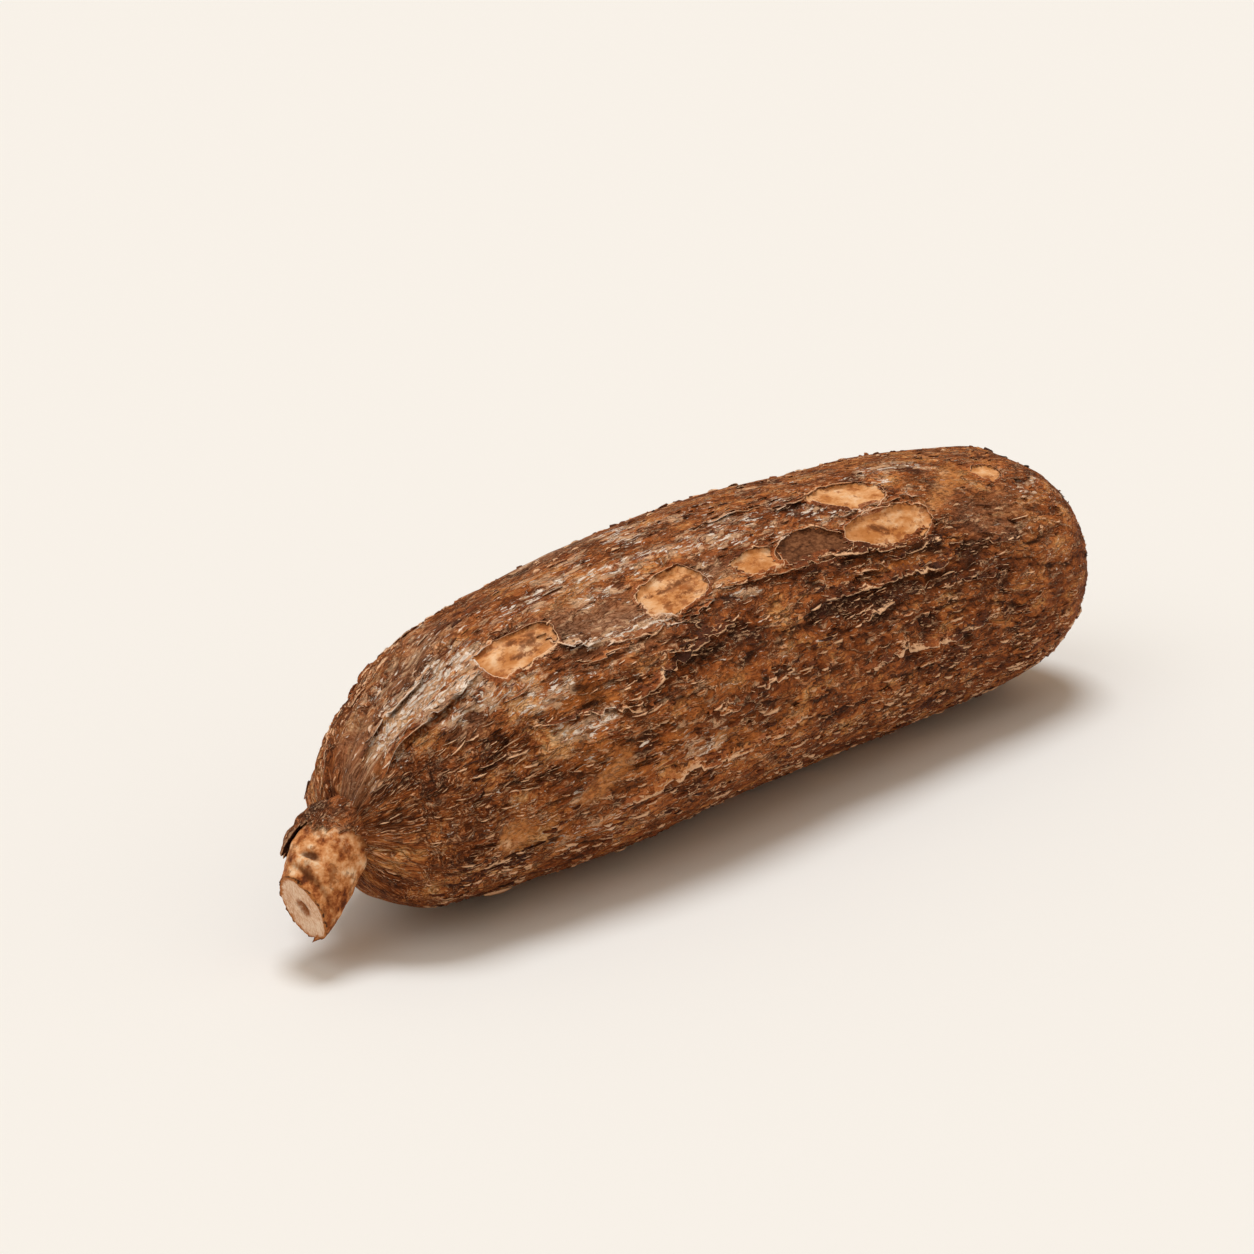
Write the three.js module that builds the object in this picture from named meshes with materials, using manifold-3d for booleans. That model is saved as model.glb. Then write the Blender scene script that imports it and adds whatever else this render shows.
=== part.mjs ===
// A whole cassava root lying on its side, as it is trimmed for sale: a long blunt body in rough brown bark
// with folds, lifted bark edges and peeled patches, and a short cut stem that bends down from its neck.
// It grew as one piece, so it is one solid.
// Millimetres, +Z up. The root lies on z = 0 along X, stem towards -X, and the origin is below the middle
// of its box. Angles round the root are in degrees from the top, towards -Y.

import * as THREE from "three";
import Module from "manifold-3d";

const wasm = await Module();
wasm.setup();

// Driving dimensions of the body: [x, radius], and [x, y, z] of its middle line
const NECK_X = -132.2;
const TIP_X = 148;
const NECK_ROUNDING = 24.2;
const TIP_ROUNDING = 34;
const ROUNDING_POWER = 2.2;
const GIRTH = [
  [-132, 21], [-108, 25.6], [-90, 30.7], [-65, 34.1], [-30, 36.4],
  [20, 37], [70, 36.4], [100, 35], [118, 33.6], [148, 32],
];
const MIDDLE = [
  [-132, -2.5, 28.4], [-116, -1.8, 29.8], [-100, 1.2, 31.2], [-85, 2.3, 32.8], [-60, 1.0, 34.8],
  [-30, 0.9, 36.8], [20, 1.3, 37.4], [70, -0.2, 36.9], [105, -3.9, 35.9], [148, -3.7, 35.4],
];

// The small flat spot that the root rests on, under its weight
const REST_X = 12;
const REST_SWELL = 1.7;
const REST_LENGTH = 22;
const REST_SPREAD = 22;
const REST_CALM = 30;
const REST_CALM_SHARE = 0.8;

// Swellings of the whole body: [height, waves round the root, millimetres along it for each radian, phase]
const SWELLINGS = [
  [0.32, 2, 41, 0.6],
  [0.26, 3, -29, 2.1],
  [0.20, 5, 19, 4.0],
  [0.20, 1, 13, 1.3],
  [0.14, 4, -9, 5.2],
];

// Folds of the bark, drawn by chance. A fold wanders to either side of its angle as it runs along.
// Those of the neck are highest there and run out along the body, the long ones lie anywhere on it
const FOLD_WIDTH = 4.2;
const FOLD_PHASES = 6.3;
const NECK_FOLDS = {
  count: 22, height: 0.5, least: 0.5, varied: 1, gather: 0.9, gatherFrom: 104, gatherTo: 126,
  endFrom: -100, endOver: 90, fade: 30, shift: 0.6, wander: 4, pace: 33,
};
const LONG_FOLDS = {
  count: 30, height: 0.7, least: 0.4, varied: 0.8, middleFrom: -70, middleOver: 190,
  halfLength: 16, halfLengthVaried: 30, stride: 7, shift: 0.8, wander: 3, pace: 27,
};

// Places where the outer bark has peeled off: depth, and the outline as [x, angle]
const PEELED = {
  shoulder: { depth: 0.9, outline: [[-94, 17], [-75, 21], [-76, 34], [-94, 35]] },
  middle: {
    depth: 0.9,
    outline: [[-47, 29], [-38, 25], [-30, 26], [-26, 33], [-28, 41], [-35, 43], [-44, 44], [-49, 38]],
  },
  small: { depth: 0.7, outline: [[-16, 35], [-7, 32], [1, 35], [-1, 43], [-11, 44]] },
  dark: {
    depth: 0.5,
    outline: [[1, 36], [10, 32], [19, 32], [27, 38], [28, 45], [17, 48], [3, 46], [-1, 41]],
  },
  upper: { depth: 0.9, outline: [[27, 18], [38, 14], [50, 16], [56, 22], [53, 30], [42, 32], [34, 28]] },
  lower: {
    depth: 1.0,
    outline: [[30, 36], [42, 33], [58, 34], [65, 39], [63, 46], [54, 51], [34, 48], [28, 43]],
  },
  far: { depth: 0.5, outline: [[97, 20], [105, 19], [108, 24], [102, 31], [96, 29]] },
  band: { depth: 0.4, outline: [[86, 17], [95, 14], [90, 25], [79, 36], [66, 43], [66, 36], [76, 27]] },
  neck: {
    depth: 0.5,
    outline: [[-106, 95], [-101, 94], [-97, 99], [-96, 106], [-100, 112], [-104, 113], [-107, 104]],
  },
  flank: {
    depth: 0.5,
    outline: [[-84, 97], [-81, 90], [-75, 85], [-69, 82], [-68, 88], [-72, 95], [-76, 101], [-82, 103]],
  },
  rearShoulder: { depth: 0.8, outline: [[-84, -76], [-68, -80], [-64, -67], [-82, -66]] },
  rearMiddle: { depth: 0.9, outline: [[-6, -78], [12, -84], [18, -72], [4, -64], [-8, -68]] },
  rearSmall: { depth: 0.7, outline: [[-38, -108], [-28, -114], [-24, -104], [-34, -98]] },
  rearFar: { depth: 0.9, outline: [[62, -70], [80, -74], [86, -62], [72, -56], [60, -60]] },
  rearLow: { depth: 0.7, outline: [[92, -118], [104, -122], [106, -110], [95, -108]] },
};

// Lifted edges of bark plates: height, width of the lifted strip, and the edge as [x, angle].
// A strip slopes up to its edge, and the edge drops to the bark below it
const LIFTED = {
  neckRidge: { height: 1.5, width: 5, edge: [[-96, 25], [-105, 27], [-115, 25], [-122, 23], [-126, 30]] },
  neckFold: { height: 1.1, width: 4, edge: [[-100, 4], [-112, 3], [-120, 1], [-126, 2]] },
  shoulderEdge: { height: 0.9, width: 4, edge: [[-77, 29], [-75, 35], [-71, 39], [-66, 41]] },
  bridge: { height: 0.9, width: 5, edge: [[-64, 43], [-56, 47], [-48, 46]] },
  diagonal: { height: 1.2, width: 6, edge: [[-66, 69], [-57, 64], [-48, 60], [-38, 58], [-27, 57]] },
  long: {
    height: 1.3,
    width: 6,
    edge: [[-25, 43], [-12, 45], [4, 46], [22, 47], [36, 50], [49, 51], [61, 48]],
  },
  below: { height: 1.1, width: 6, edge: [[8, 62], [22, 63], [40, 63], [56, 64], [68, 61]] },
  short: { height: 0.9, width: 5, edge: [[20, 75], [28, 72], [36, 71]] },
  top: { height: 0.8, width: 5, edge: [[14, 20], [22, 19], [29, 17]] },
  between: { height: 0.9, width: 5, edge: [[32, 32], [46, 31], [58, 31], [68, 34]] },
  belly: { height: 0.9, width: 6, edge: [[-70, 108], [-50, 104], [-26, 106], [-4, 103]] },
  flank: { height: 0.9, width: 6, edge: [[18, 96], [38, 92], [60, 94], [82, 90]] },
  rearUpper: { height: 1.1, width: 6, edge: [[-98, -60], [-76, -56], [-52, -60], [-30, -56]] },
  rearLong: { height: 1.3, width: 7, edge: [[-22, -55], [8, -57], [34, -54], [56, -58]] },
  rearMiddle: { height: 1.1, width: 6, edge: [[-78, -84], [-56, -88], [-28, -85]] },
  rearFar: { height: 1.0, width: 6, edge: [[36, -92], [62, -95], [88, -92], [106, -94]] },
  rearEnd: { height: 0.8, width: 5, edge: [[88, -56], [104, -60], [116, -56]] },
  rearLow: { height: 1.0, width: 6, edge: [[-30, -122], [-6, -124], [22, -121]] },
};
const LIFTED_STEP = 6.5;
const LIFTED_CREST = 0.4;
const LIFTED_ROOT = 1.1;
const LIFTED_ROOT_SHARE = 0.4;
const LIFTED_FOOT = 0.35;
const LIFTED_END_WIDTH = 0.4;
const LIFTED_TAPER = 0.6;
const LIFTED_INSET = 0.35;
const PEELED_STEPS = 14;
const PEELED_ABOVE = 2.5;
const PEELED_BED = 0.98;
const PEELED_MOUTH = 1.03;
const OUTLINE_TENSION = 0.35;

// Stem stub: its route from inside the neck to the middle of the cut, [share of that route, radius],
// the way it faces as [share, x, y, z], and lumps as [height, waves round it, turns along it, phase]
const STUB_ROUTE = new THREE.QuadraticBezierCurve3(
  new THREE.Vector3(-126, -1, 28.6),
  new THREE.Vector3(-136.8, -1, 25),
  new THREE.Vector3(-145, -2.4, 15),
);
const STUB_GIRTH = [[0, 6], [0.2, 7.6], [0.45, 8], [0.7, 8.1], [0.88, 7.9], [1, 7.5]];
const STUB_FACING = [[0, -1, 0, 0], [0.5, -0.86, -0.05, -0.5], [1, -0.935, 0.133, -0.333]];
const STUB_TALL = 1.08;
const STUB_LUMPS = [[0.22, 3, 9, 0], [0.16, 5, -5, 1]];
const KNOT = { along: 0.7, angle: 14, length: 0.06, spread: 24, depth: 1.3 };
const BUD = { along: 0.8, angle: 22, length: 0.08, spread: 28, depth: -0.6 };
const SIDE_BUD = { along: 0.62, angle: 150, length: 0.1, spread: 28, depth: -0.3 };
const CUT_RINGS = [[0.95, 0.3], [0.84, 0], [0.5, 0], [0.24, -0.1], [0.13, -0.9]];
const PITH_DEPTH = 1.0;

// Collar of torn bark that the stub comes out of, as shares of the stub's route and of its radius.
// The brow reaches further over the stub, the flap stands away from it, and one side hugs it.
// Teeth of its edge are [height, waves round the stub, phase]
const COLLAR = { back: 0.08, reach: 0.39, gap: 0.03, thickness: 0.15 };
const COLLAR_SECTION = { innerFoot: 0.85, outerFoot: 1.04, lip: 0.7, lipBack: 0.01, bulge: 1 };
const COLLAR_TEETH = [[0.012, 5, 1], [0.01, 9, 2.2]];
const COLLAR_BROW = { angle: -10, spread: 60, reach: 0.06 };
const COLLAR_FLAP = { angle: -82, spread: 34, reach: 0.24, flare: 0.2 };
const COLLAR_HUG = { angle: 95, spread: 48, reach: 0.17, sink: 0.08, thinner: 0.5 };

// Fineness of the facets
const BODY_COLUMNS = 60;
const NECK_ROWS = 8;
const MIDDLE_ROWS = 34;
const TIP_ROWS = 7;
const STUB_COLUMNS = 30;
const STUB_ROWS = 8;

// Bark colour of the finished solid
const BARK = { color: 0x6e3f22, roughness: 0.85, metalness: 0 };

// A repeatable number from 0 to 1 for a fold and one of its properties
function chance(index, property) {
  const value = Math.sin(index * 12.9898 + property * 78.233) * 43758.5453;
  return value - Math.floor(value);
}

// A smooth curve through a few stations, read at x
function readStations(stations, x, column) {
  const last = stations.length - 1;
  const slopeAt = (index) => {
    const before = stations[Math.max(index - 1, 0)];
    const after = stations[Math.min(index + 1, last)];
    return (after[column] - before[column]) / (after[0] - before[0]);
  };
  let start = 0;
  while (start < last - 1 && x > stations[start + 1][0]) {
    start += 1;
  }
  const span = stations[start + 1][0] - stations[start][0];
  const t = THREE.MathUtils.clamp((x - stations[start][0]) / span, 0, 1);
  const rise = t * t * (3 - 2 * t);
  const early = t * (1 - t) * (1 - t) * span;
  const late = t * t * (t - 1) * span;
  const level = stations[start][column] * (1 - rise) + stations[start + 1][column] * rise;
  return level + early * slopeAt(start) + late * slopeAt(start + 1);
}

// A bell from 1 at the middle to 0 far away
function bell(distance, width) {
  return Math.exp(-((distance / width) ** 2));
}

// The shorter way round from one angle to another, in degrees
function turnBetween(angle, other) {
  return THREE.MathUtils.euclideanModulo(angle - other + 180, 360) - 180;
}

// How much of a change round the stub is felt at an angle
function shareAt(angle, change) {
  return bell(turnBetween(angle, change.angle), change.spread);
}

// Radius of the body at x, rounded off at both ends
function bodyRadius(x) {
  const nearNeck = Math.max((NECK_X + NECK_ROUNDING - x) / NECK_ROUNDING, 0);
  const nearTip = Math.max((x - TIP_X + TIP_ROUNDING) / TIP_ROUNDING, 0);
  const neck = Math.sqrt(Math.max(1 - nearNeck ** ROUNDING_POWER, 0));
  const tip = Math.sqrt(Math.max(1 - nearTip ** ROUNDING_POWER, 0));
  return readStations(GIRTH, x, 1) * neck * tip;
}

// Which way the bark faces at x, as its shares along X and away from the middle line
function barkFacing(x) {
  const step = 0.02;
  const before = Math.max(x - step, NECK_X);
  const after = Math.min(x + step, TIP_X);
  const along = new THREE.Vector2(after - before, bodyRadius(after) - bodyRadius(before));
  return along.normalize();
}

// Height of the folds that start at the neck
function neckFoldHeight(x, angle) {
  const folds = NECK_FOLDS;
  const gather = 1 + folds.gather * THREE.MathUtils.smoothstep(-x, folds.gatherFrom, folds.gatherTo);
  let height = 0;
  for (let fold = 0; fold < folds.count; fold += 1) {
    const end = folds.endFrom + folds.endOver * chance(fold, 2);
    const wander = folds.wander * Math.sin(x / folds.pace + FOLD_PHASES * chance(fold, 3));
    const home = (fold + folds.shift * chance(fold, 1)) * (360 / folds.count) + wander;
    const size = folds.height * (folds.least + folds.varied * chance(fold, 4)) * gather;
    const fade = 1 - THREE.MathUtils.smoothstep(x, end, end + folds.fade);
    height += size * fade * bell(turnBetween(angle, home), FOLD_WIDTH);
  }
  return height;
}

// Height of the long folds
function longFoldHeight(x, angle) {
  const folds = LONG_FOLDS;
  let height = 0;
  for (let fold = NECK_FOLDS.count; fold < NECK_FOLDS.count + folds.count; fold += 1) {
    const middle = folds.middleFrom + folds.middleOver * chance(fold, 2);
    const halfLength = folds.halfLength + folds.halfLengthVaried * chance(fold, 5);
    const wander = folds.wander * Math.sin(x / folds.pace + FOLD_PHASES * chance(fold, 3));
    const home = (fold + folds.shift * chance(fold, 1)) * (360 / folds.count) * folds.stride + wander;
    const size = folds.height * (folds.least + folds.varied * chance(fold, 4));
    height += size * bell(x - middle, halfLength) * bell(turnBetween(angle, home), FOLD_WIDTH);
  }
  return height;
}

// Height of the bark over the plain body at a place
function barkHeight(x, angle) {
  const radians = THREE.MathUtils.degToRad(angle);
  const fromBottom = turnBetween(angle, 180);
  let height = neckFoldHeight(x, angle) + longFoldHeight(x, angle);
  for (const [size, waves, pace, phase] of SWELLINGS) {
    height += size * Math.sin(waves * radians + x / pace + phase);
  }
  height *= 1 - REST_CALM_SHARE * bell(fromBottom, REST_CALM);
  return height + REST_SWELL * bell(x - REST_X, REST_LENGTH) * bell(fromBottom, REST_SPREAD);
}

// A point on the body, lifted off its bark or sunk into it
function onBody(x, angle, lift) {
  const radians = THREE.MathUtils.degToRad(angle);
  const facing = barkFacing(x);
  const height = barkHeight(x, angle) + lift;
  const out = bodyRadius(x) + height * facing.x;
  const point = new THREE.Vector3(
    x - height * facing.y,
    readStations(MIDDLE, x, 1) - out * Math.sin(radians),
    readStations(MIDDLE, x, 2) + out * Math.cos(radians),
  );
  point.z = Math.max(point.z, lift < 0 ? -Infinity : 0);
  return point;
}

// A closed solid from rings of points, each ring joined to the next, with a middle point at either end
function solidOfRings(firstPoint, rings, lastPoint) {
  const columns = rings[0].length;
  const points = [firstPoint, ...rings.flat(), lastPoint];
  const lastIndex = points.length - 1;
  const lastRing = lastIndex - columns;
  const triangles = [];
  for (let column = 0; column < columns; column += 1) {
    const next = (column + 1) % columns;
    triangles.push(0, 1 + next, 1 + column);
    triangles.push(lastIndex, lastRing + column, lastRing + next);
    for (let ring = 0; ring < rings.length - 1; ring += 1) {
      const here = 1 + ring * columns;
      const beyond = here + columns;
      triangles.push(here + column, here + next, beyond + column);
      triangles.push(here + next, beyond + next, beyond + column);
    }
  }
  return solidOf(points, triangles);
}

// A closed solid from points and triangles, with its faces turned outwards
function solidOf(points, triangles) {
  const build = (corners) => new wasm.Manifold(new wasm.Mesh({
    numProp: 3,
    vertProperties: new Float32Array(points.flatMap((point) => point.toArray())),
    triVerts: new Uint32Array(corners),
  }));
  const solid = build(triangles);
  return solid.volume() > 0 ? solid : build(triangles.toReversed());
}

// Where the rows of the body lie along X: close together where its ends turn in
function bodyRows() {
  const rows = [];
  const neckEnd = NECK_X + NECK_ROUNDING;
  const tipStart = TIP_X - TIP_ROUNDING;
  for (let row = 1; row < NECK_ROWS; row += 1) {
    rows.push(neckEnd - NECK_ROUNDING * Math.cos((row / NECK_ROWS) * (Math.PI / 2)));
  }
  for (let row = 0; row <= MIDDLE_ROWS; row += 1) {
    rows.push(THREE.MathUtils.lerp(neckEnd, tipStart, row / MIDDLE_ROWS));
  }
  for (let row = 1; row < TIP_ROWS; row += 1) {
    rows.push(tipStart + TIP_ROUNDING * Math.sin((row / TIP_ROWS) * (Math.PI / 2)));
  }
  return rows;
}

// Body with its folds and swellings
function makeBody() {
  const ringAt = (x) => Array.from({ length: BODY_COLUMNS }, (_, column) => (
    onBody(x, (column * 360) / BODY_COLUMNS, 0)
  ));
  return solidOfRings(onBody(NECK_X, 0, 0), bodyRows().map(ringAt), onBody(TIP_X, 0, 0));
}

// What is cut away where bark has peeled off: a plate with a rounded outline that follows the body
function makePeeled({ depth, outline }) {
  const radius = bodyRadius(outline[0][0]);
  const arc = THREE.MathUtils.degToRad(radius);
  const corners = outline.map(([x, angle]) => new THREE.Vector3(x, angle * arc, 0));
  const curve = new THREE.CatmullRomCurve3(corners, true, "catmullrom", OUTLINE_TENSION);
  const border = curve.getSpacedPoints(PEELED_STEPS).slice(0, PEELED_STEPS);
  const centre = middleOf(border);
  const ringAt = (share, lift) => border.map((point) => {
    const place = centre.clone().lerp(point, share);
    return onBody(place.x, place.y / arc, lift);
  });
  const middleAt = (lift) => onBody(centre.x, centre.y / arc, lift);
  return solidOfRings(
    middleAt(-depth),
    [ringAt(PEELED_BED, -depth), ringAt(PEELED_MOUTH, PEELED_ABOVE)],
    middleAt(PEELED_ABOVE),
  );
}

// A strip of bark that slopes up to a lifted edge, and tapers into the body at both ends
function makeLifted({ height, width, edge }) {
  const arc = THREE.MathUtils.degToRad(bodyRadius(edge[0][0]));
  const curve = new THREE.SplineCurve(edge.map(([x, angle]) => new THREE.Vector2(x, angle * arc)));
  const steps = Math.round(curve.getLength() / LIFTED_STEP);
  const places = curve.getSpacedPoints(steps);
  const side = Math.sign(edge[0][1]);
  const rings = places.map((place, index) => {
    const share = (index + LIFTED_INSET) / (steps + 2 * LIFTED_INSET);
    const taper = Math.sin(Math.PI * share) ** LIFTED_TAPER;
    const back = width * THREE.MathUtils.lerp(LIFTED_END_WIDTH, 1, taper);
    const here = place.y / arc;
    const turn = (side * THREE.MathUtils.radToDeg(1)) / bodyRadius(place.x);
    return [
      onBody(place.x, here - turn * back, -LIFTED_FOOT),
      onBody(place.x, here - turn * LIFTED_CREST, height * taper),
      onBody(place.x, here, -LIFTED_ROOT),
      onBody(place.x, here - turn * width * LIFTED_ROOT_SHARE, -LIFTED_ROOT),
    ];
  });
  return solidOfRings(middleOf(rings[0]), rings, middleOf(rings[rings.length - 1]));
}

// The middle of some points
function middleOf(points) {
  return points.reduce((sum, point) => sum.add(point), new THREE.Vector3()).divideScalar(points.length);
}

// A point on the stub: share of its route, angle round it, share of its radius and rise along its facing
function onStub(along, angle, share, rise) {
  const facing = new THREE.Vector3(
    readStations(STUB_FACING, along, 1),
    readStations(STUB_FACING, along, 2),
    readStations(STUB_FACING, along, 3),
  ).normalize();
  const upward = new THREE.Vector3(0, 0, 1).addScaledVector(facing, -facing.z).normalize();
  const sideways = new THREE.Vector3().crossVectors(upward, facing);
  const radians = THREE.MathUtils.degToRad(angle);
  let radius = readStations(STUB_GIRTH, along, 1);
  for (const [size, waves, turns, phase] of STUB_LUMPS) {
    radius += size * Math.sin(waves * radians + turns * along + phase);
  }
  for (const mark of [KNOT, BUD, SIDE_BUD]) {
    radius -= mark.depth * bell(along - mark.along, mark.length) * shareAt(angle, mark);
  }
  return STUB_ROUTE.getPoint(along)
    .addScaledVector(upward, radius * share * STUB_TALL * Math.cos(radians))
    .addScaledVector(sideways, radius * share * Math.sin(radians))
    .addScaledVector(facing, rise);
}

// Stub of the stem with its cut face, which sinks a little at the pith
function makeStub() {
  const ringAt = (along, share, rise) => Array.from({ length: STUB_COLUMNS }, (_, column) => (
    onStub(along, (column * 360) / STUB_COLUMNS, share, rise)
  ));
  const cutRings = CUT_RINGS.toReversed().map(([share, rise]) => ringAt(1, share, rise));
  const sideRings = Array.from({ length: STUB_ROWS }, (_, row) => ringAt(1 - row / STUB_ROWS, 1, 0));
  return solidOfRings(onStub(1, 0, 0, -PITH_DEPTH), [...cutRings, ...sideRings], onStub(0, 0, 0, 0));
}

// Collar: a sleeve of torn bark round the stub, with a flap that stands away from it
function makeCollar() {
  const sections = Array.from({ length: STUB_COLUMNS }, (_, column) => {
    const angle = (column * 360) / STUB_COLUMNS;
    const radians = THREE.MathUtils.degToRad(angle);
    const flap = shareAt(angle, COLLAR_FLAP);
    const brow = shareAt(angle, COLLAR_BROW);
    const hug = shareAt(angle, COLLAR_HUG);
    let edge = COLLAR.reach + COLLAR_BROW.reach * brow + COLLAR_FLAP.reach * flap - COLLAR_HUG.reach * hug;
    for (const [size, waves, phase] of COLLAR_TEETH) {
      edge += size * Math.sin(waves * radians + phase);
    }
    const inner = 1 + COLLAR.gap + COLLAR_FLAP.flare * flap - COLLAR_HUG.sink * hug;
    const thickness = COLLAR.thickness * (1 - COLLAR_HUG.thinner * hug);
    return [
      onStub(COLLAR.back, angle, COLLAR_SECTION.innerFoot, 0),
      onStub(edge, angle, inner, 0),
      onStub(edge - COLLAR_SECTION.lipBack, angle, inner + thickness * COLLAR_SECTION.lip, 0),
      onStub((edge + COLLAR.back) / 2, angle, inner + thickness * COLLAR_SECTION.bulge, 0),
      onStub(COLLAR.back, angle, COLLAR_SECTION.outerFoot, 0),
    ];
  });
  return solidOfLoop(sections);
}

// A closed ring-shaped solid from sections that follow one another round a loop
function solidOfLoop(sections) {
  const corners = sections[0].length;
  const points = sections.flat();
  const triangles = [];
  sections.forEach((_, index) => {
    const here = index * corners;
    const beyond = ((index + 1) % sections.length) * corners;
    for (let corner = 0; corner < corners; corner += 1) {
      const next = (corner + 1) % corners;
      triangles.push(here + corner, beyond + corner, here + next);
      triangles.push(here + next, beyond + corner, beyond + next);
    }
  });
  return solidOf(points, triangles);
}

// The whole root as one solid
function makeRoot() {
  let root = makeBody();
  for (const patch of Object.values(PEELED)) {
    root = root.subtract(makePeeled(patch));
  }
  for (const strip of Object.values(LIFTED)) {
    root = root.add(makeLifted(strip));
  }
  return root.add(makeStub()).add(makeCollar());
}

// The mesh of a solid
function meshOf(solid, name, finish) {
  const { vertProperties, triVerts } = solid.getMesh();
  const geometry = new THREE.BufferGeometry();
  geometry.setAttribute("position", new THREE.BufferAttribute(vertProperties, 3));
  geometry.setIndex(new THREE.BufferAttribute(triVerts, 1));
  geometry.computeVertexNormals();
  const mesh = new THREE.Mesh(geometry, new THREE.MeshStandardMaterial(finish));
  mesh.name = name;
  return mesh;
}

const model = new THREE.Group();
model.add(meshOf(makeRoot(), "cassava_root", BARK));

export default model;
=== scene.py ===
"""Blender looks for one cassava root: bark, peeled patches, torn edges, loose flakes and the stem stub.

Sizes of the form are in millimetres and every mesh is in metres.  Angles run round the root in degrees,
from the top (0) over the near side (90) to the underside (180), and over the far side (-90).
"""
import logging
import math
from collections.abc import Sequence
from dataclasses import dataclass
from enum import Enum

import bpy
import mathutils
import numpy as np
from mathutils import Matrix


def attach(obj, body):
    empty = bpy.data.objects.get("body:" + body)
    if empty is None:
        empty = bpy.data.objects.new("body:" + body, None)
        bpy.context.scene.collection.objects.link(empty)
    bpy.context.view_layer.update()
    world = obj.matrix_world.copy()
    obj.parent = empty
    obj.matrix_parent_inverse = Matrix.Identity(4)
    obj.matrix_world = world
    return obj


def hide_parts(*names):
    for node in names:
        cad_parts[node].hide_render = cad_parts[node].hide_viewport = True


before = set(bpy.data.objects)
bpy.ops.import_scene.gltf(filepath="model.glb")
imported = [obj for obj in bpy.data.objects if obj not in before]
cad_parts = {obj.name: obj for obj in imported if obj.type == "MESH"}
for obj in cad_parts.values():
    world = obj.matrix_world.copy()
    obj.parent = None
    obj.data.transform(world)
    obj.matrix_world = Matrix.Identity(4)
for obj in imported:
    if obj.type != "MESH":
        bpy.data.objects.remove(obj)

LOG = logging.getLogger("cassava_root")
BODY = "root"
NODE = "cassava_root"
MM = 0.001
CM_PER_MM = 0.1
CM_PER_M = 100.0
TOP, UNDERSIDE = 0.0, 180.0
NEAR_SIDE, REAR_SIDE, ALL_ROUND = (-35.0, 150.0), (150.0, 325.0), (-180.0, 180.0)
OUTLINE_TENSION, EDGE_TENSION = 0.35, 0.5
CRISP_TONE = 0.66
FOLD_PHASES = 6.3
SHARD_SEEDS = (11, 23, 37, 41, 59)
AXIS_PRIMES, SEED_PRIME = (73856093, 19349663, 83492791), 2654435761
MIXING = ((13, 1274126177), (16, 2246822519))
LAST_SHIFT, WORD = 15, 0xFFFFFFFF
OCTAVE_SHIFT = 17.3
Array = np.ndarray
Path = Sequence[tuple[float, float]]
Scale = tuple[float, float, float]
Socket = bpy.types.NodeSocket


def chance(index: float, place: int) -> float:
    """Return a repeatable number from 0 to 1, the same one as the part's source draws."""
    value = math.sin(index * 12.9898 + place * 78.233) * 43758.5453
    return value - math.floor(value)


def smooth_step(value: Array | float, low: float, high: float) -> Array:
    """Return a soft rise from 0 at low to 1 at high."""
    share = np.clip((np.asarray(value, float) - low) / (high - low), 0.0, 1.0)
    return share * share * (3.0 - 2.0 * share)


def bell(distance: Array, width: float) -> Array:
    """Return a round hill of height 1 over a distance of 0."""
    return np.exp(-((distance / width) ** 2))


def turn_between(angle: Array | float, other: Array | float) -> Array:
    """Return the turn from other to angle, from -180 to 180 degrees."""
    return (np.asarray(angle, float) - other + 540.0) % 360.0 - 180.0


def lattice(cells: Array, seed: int) -> Array:
    """Return one repeatable number from 0 to 1 for every whole-number cell.

    Args:
        cells: whole numbers, three for each cell.
        seed: which set of numbers to draw.

    Returns:
        An array without the last axis of cells.
    """
    mixed = seed * SEED_PRIME
    for axis, prime in enumerate(AXIS_PRIMES):
        mixed = mixed ^ cells[..., axis] * prime
    mixed = mixed & WORD
    for shift, prime in MIXING:
        mixed = ((mixed ^ (mixed >> shift)) * prime) & WORD
    return (mixed ^ (mixed >> LAST_SHIFT)) / (WORD + 1)


def drift(points: Array, seed: int) -> Array:
    """Return smooth noise from 0 to 1 whose lumps are about one unit wide."""
    base = np.floor(points).astype(np.int64)
    part = points - base
    part = part * part * (3.0 - 2.0 * part)
    total = np.zeros(points.shape[:-1])
    for corner in np.ndindex(2, 2, 2):
        share = np.prod(np.where(corner, part, 1.0 - part), axis=-1)
        total += share * lattice(base + np.array(corner), seed)
    return total


def layered(points: Array, seed: int, octaves: int = 3) -> Array:
    """Return drift with finer and weaker layers on top, from 0 to 1."""
    total = np.zeros(points.shape[:-1])
    weight = 1.0
    for octave in range(octaves):
        total += weight * drift(points * 2.0**octave + OCTAVE_SHIFT * octave, seed + octave)
        weight *= 0.5
    return total / (2.0 - 2.0 * weight)


def nearest_cell(points: Array, seed: int) -> tuple[Array, Array]:
    """Find the nearest of some scattered centres, one in each unit cube.

    Args:
        points: places to look from.
        seed: which set of centres to draw.

    Returns:
        The step from that centre to each point, and the centre's own number from 0 to 1.
    """
    base = np.floor(points).astype(np.int64)
    best = np.full(points.shape[:-1], np.inf)
    away = np.zeros_like(points)
    number = np.zeros(points.shape[:-1])
    for corner in np.ndindex(3, 3, 3):
        cell = base + np.array(corner) - 1
        centre = cell + np.stack([lattice(cell, seed + axis) for axis in range(3)], axis=-1)
        step = points - centre
        distance = np.sum(step * step, axis=-1)
        closer = distance < best
        best = np.where(closer, distance, best)
        away[closer] = step[closer]
        number = np.where(closer, lattice(cell, seed + 3), number)
    return away, number


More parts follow.
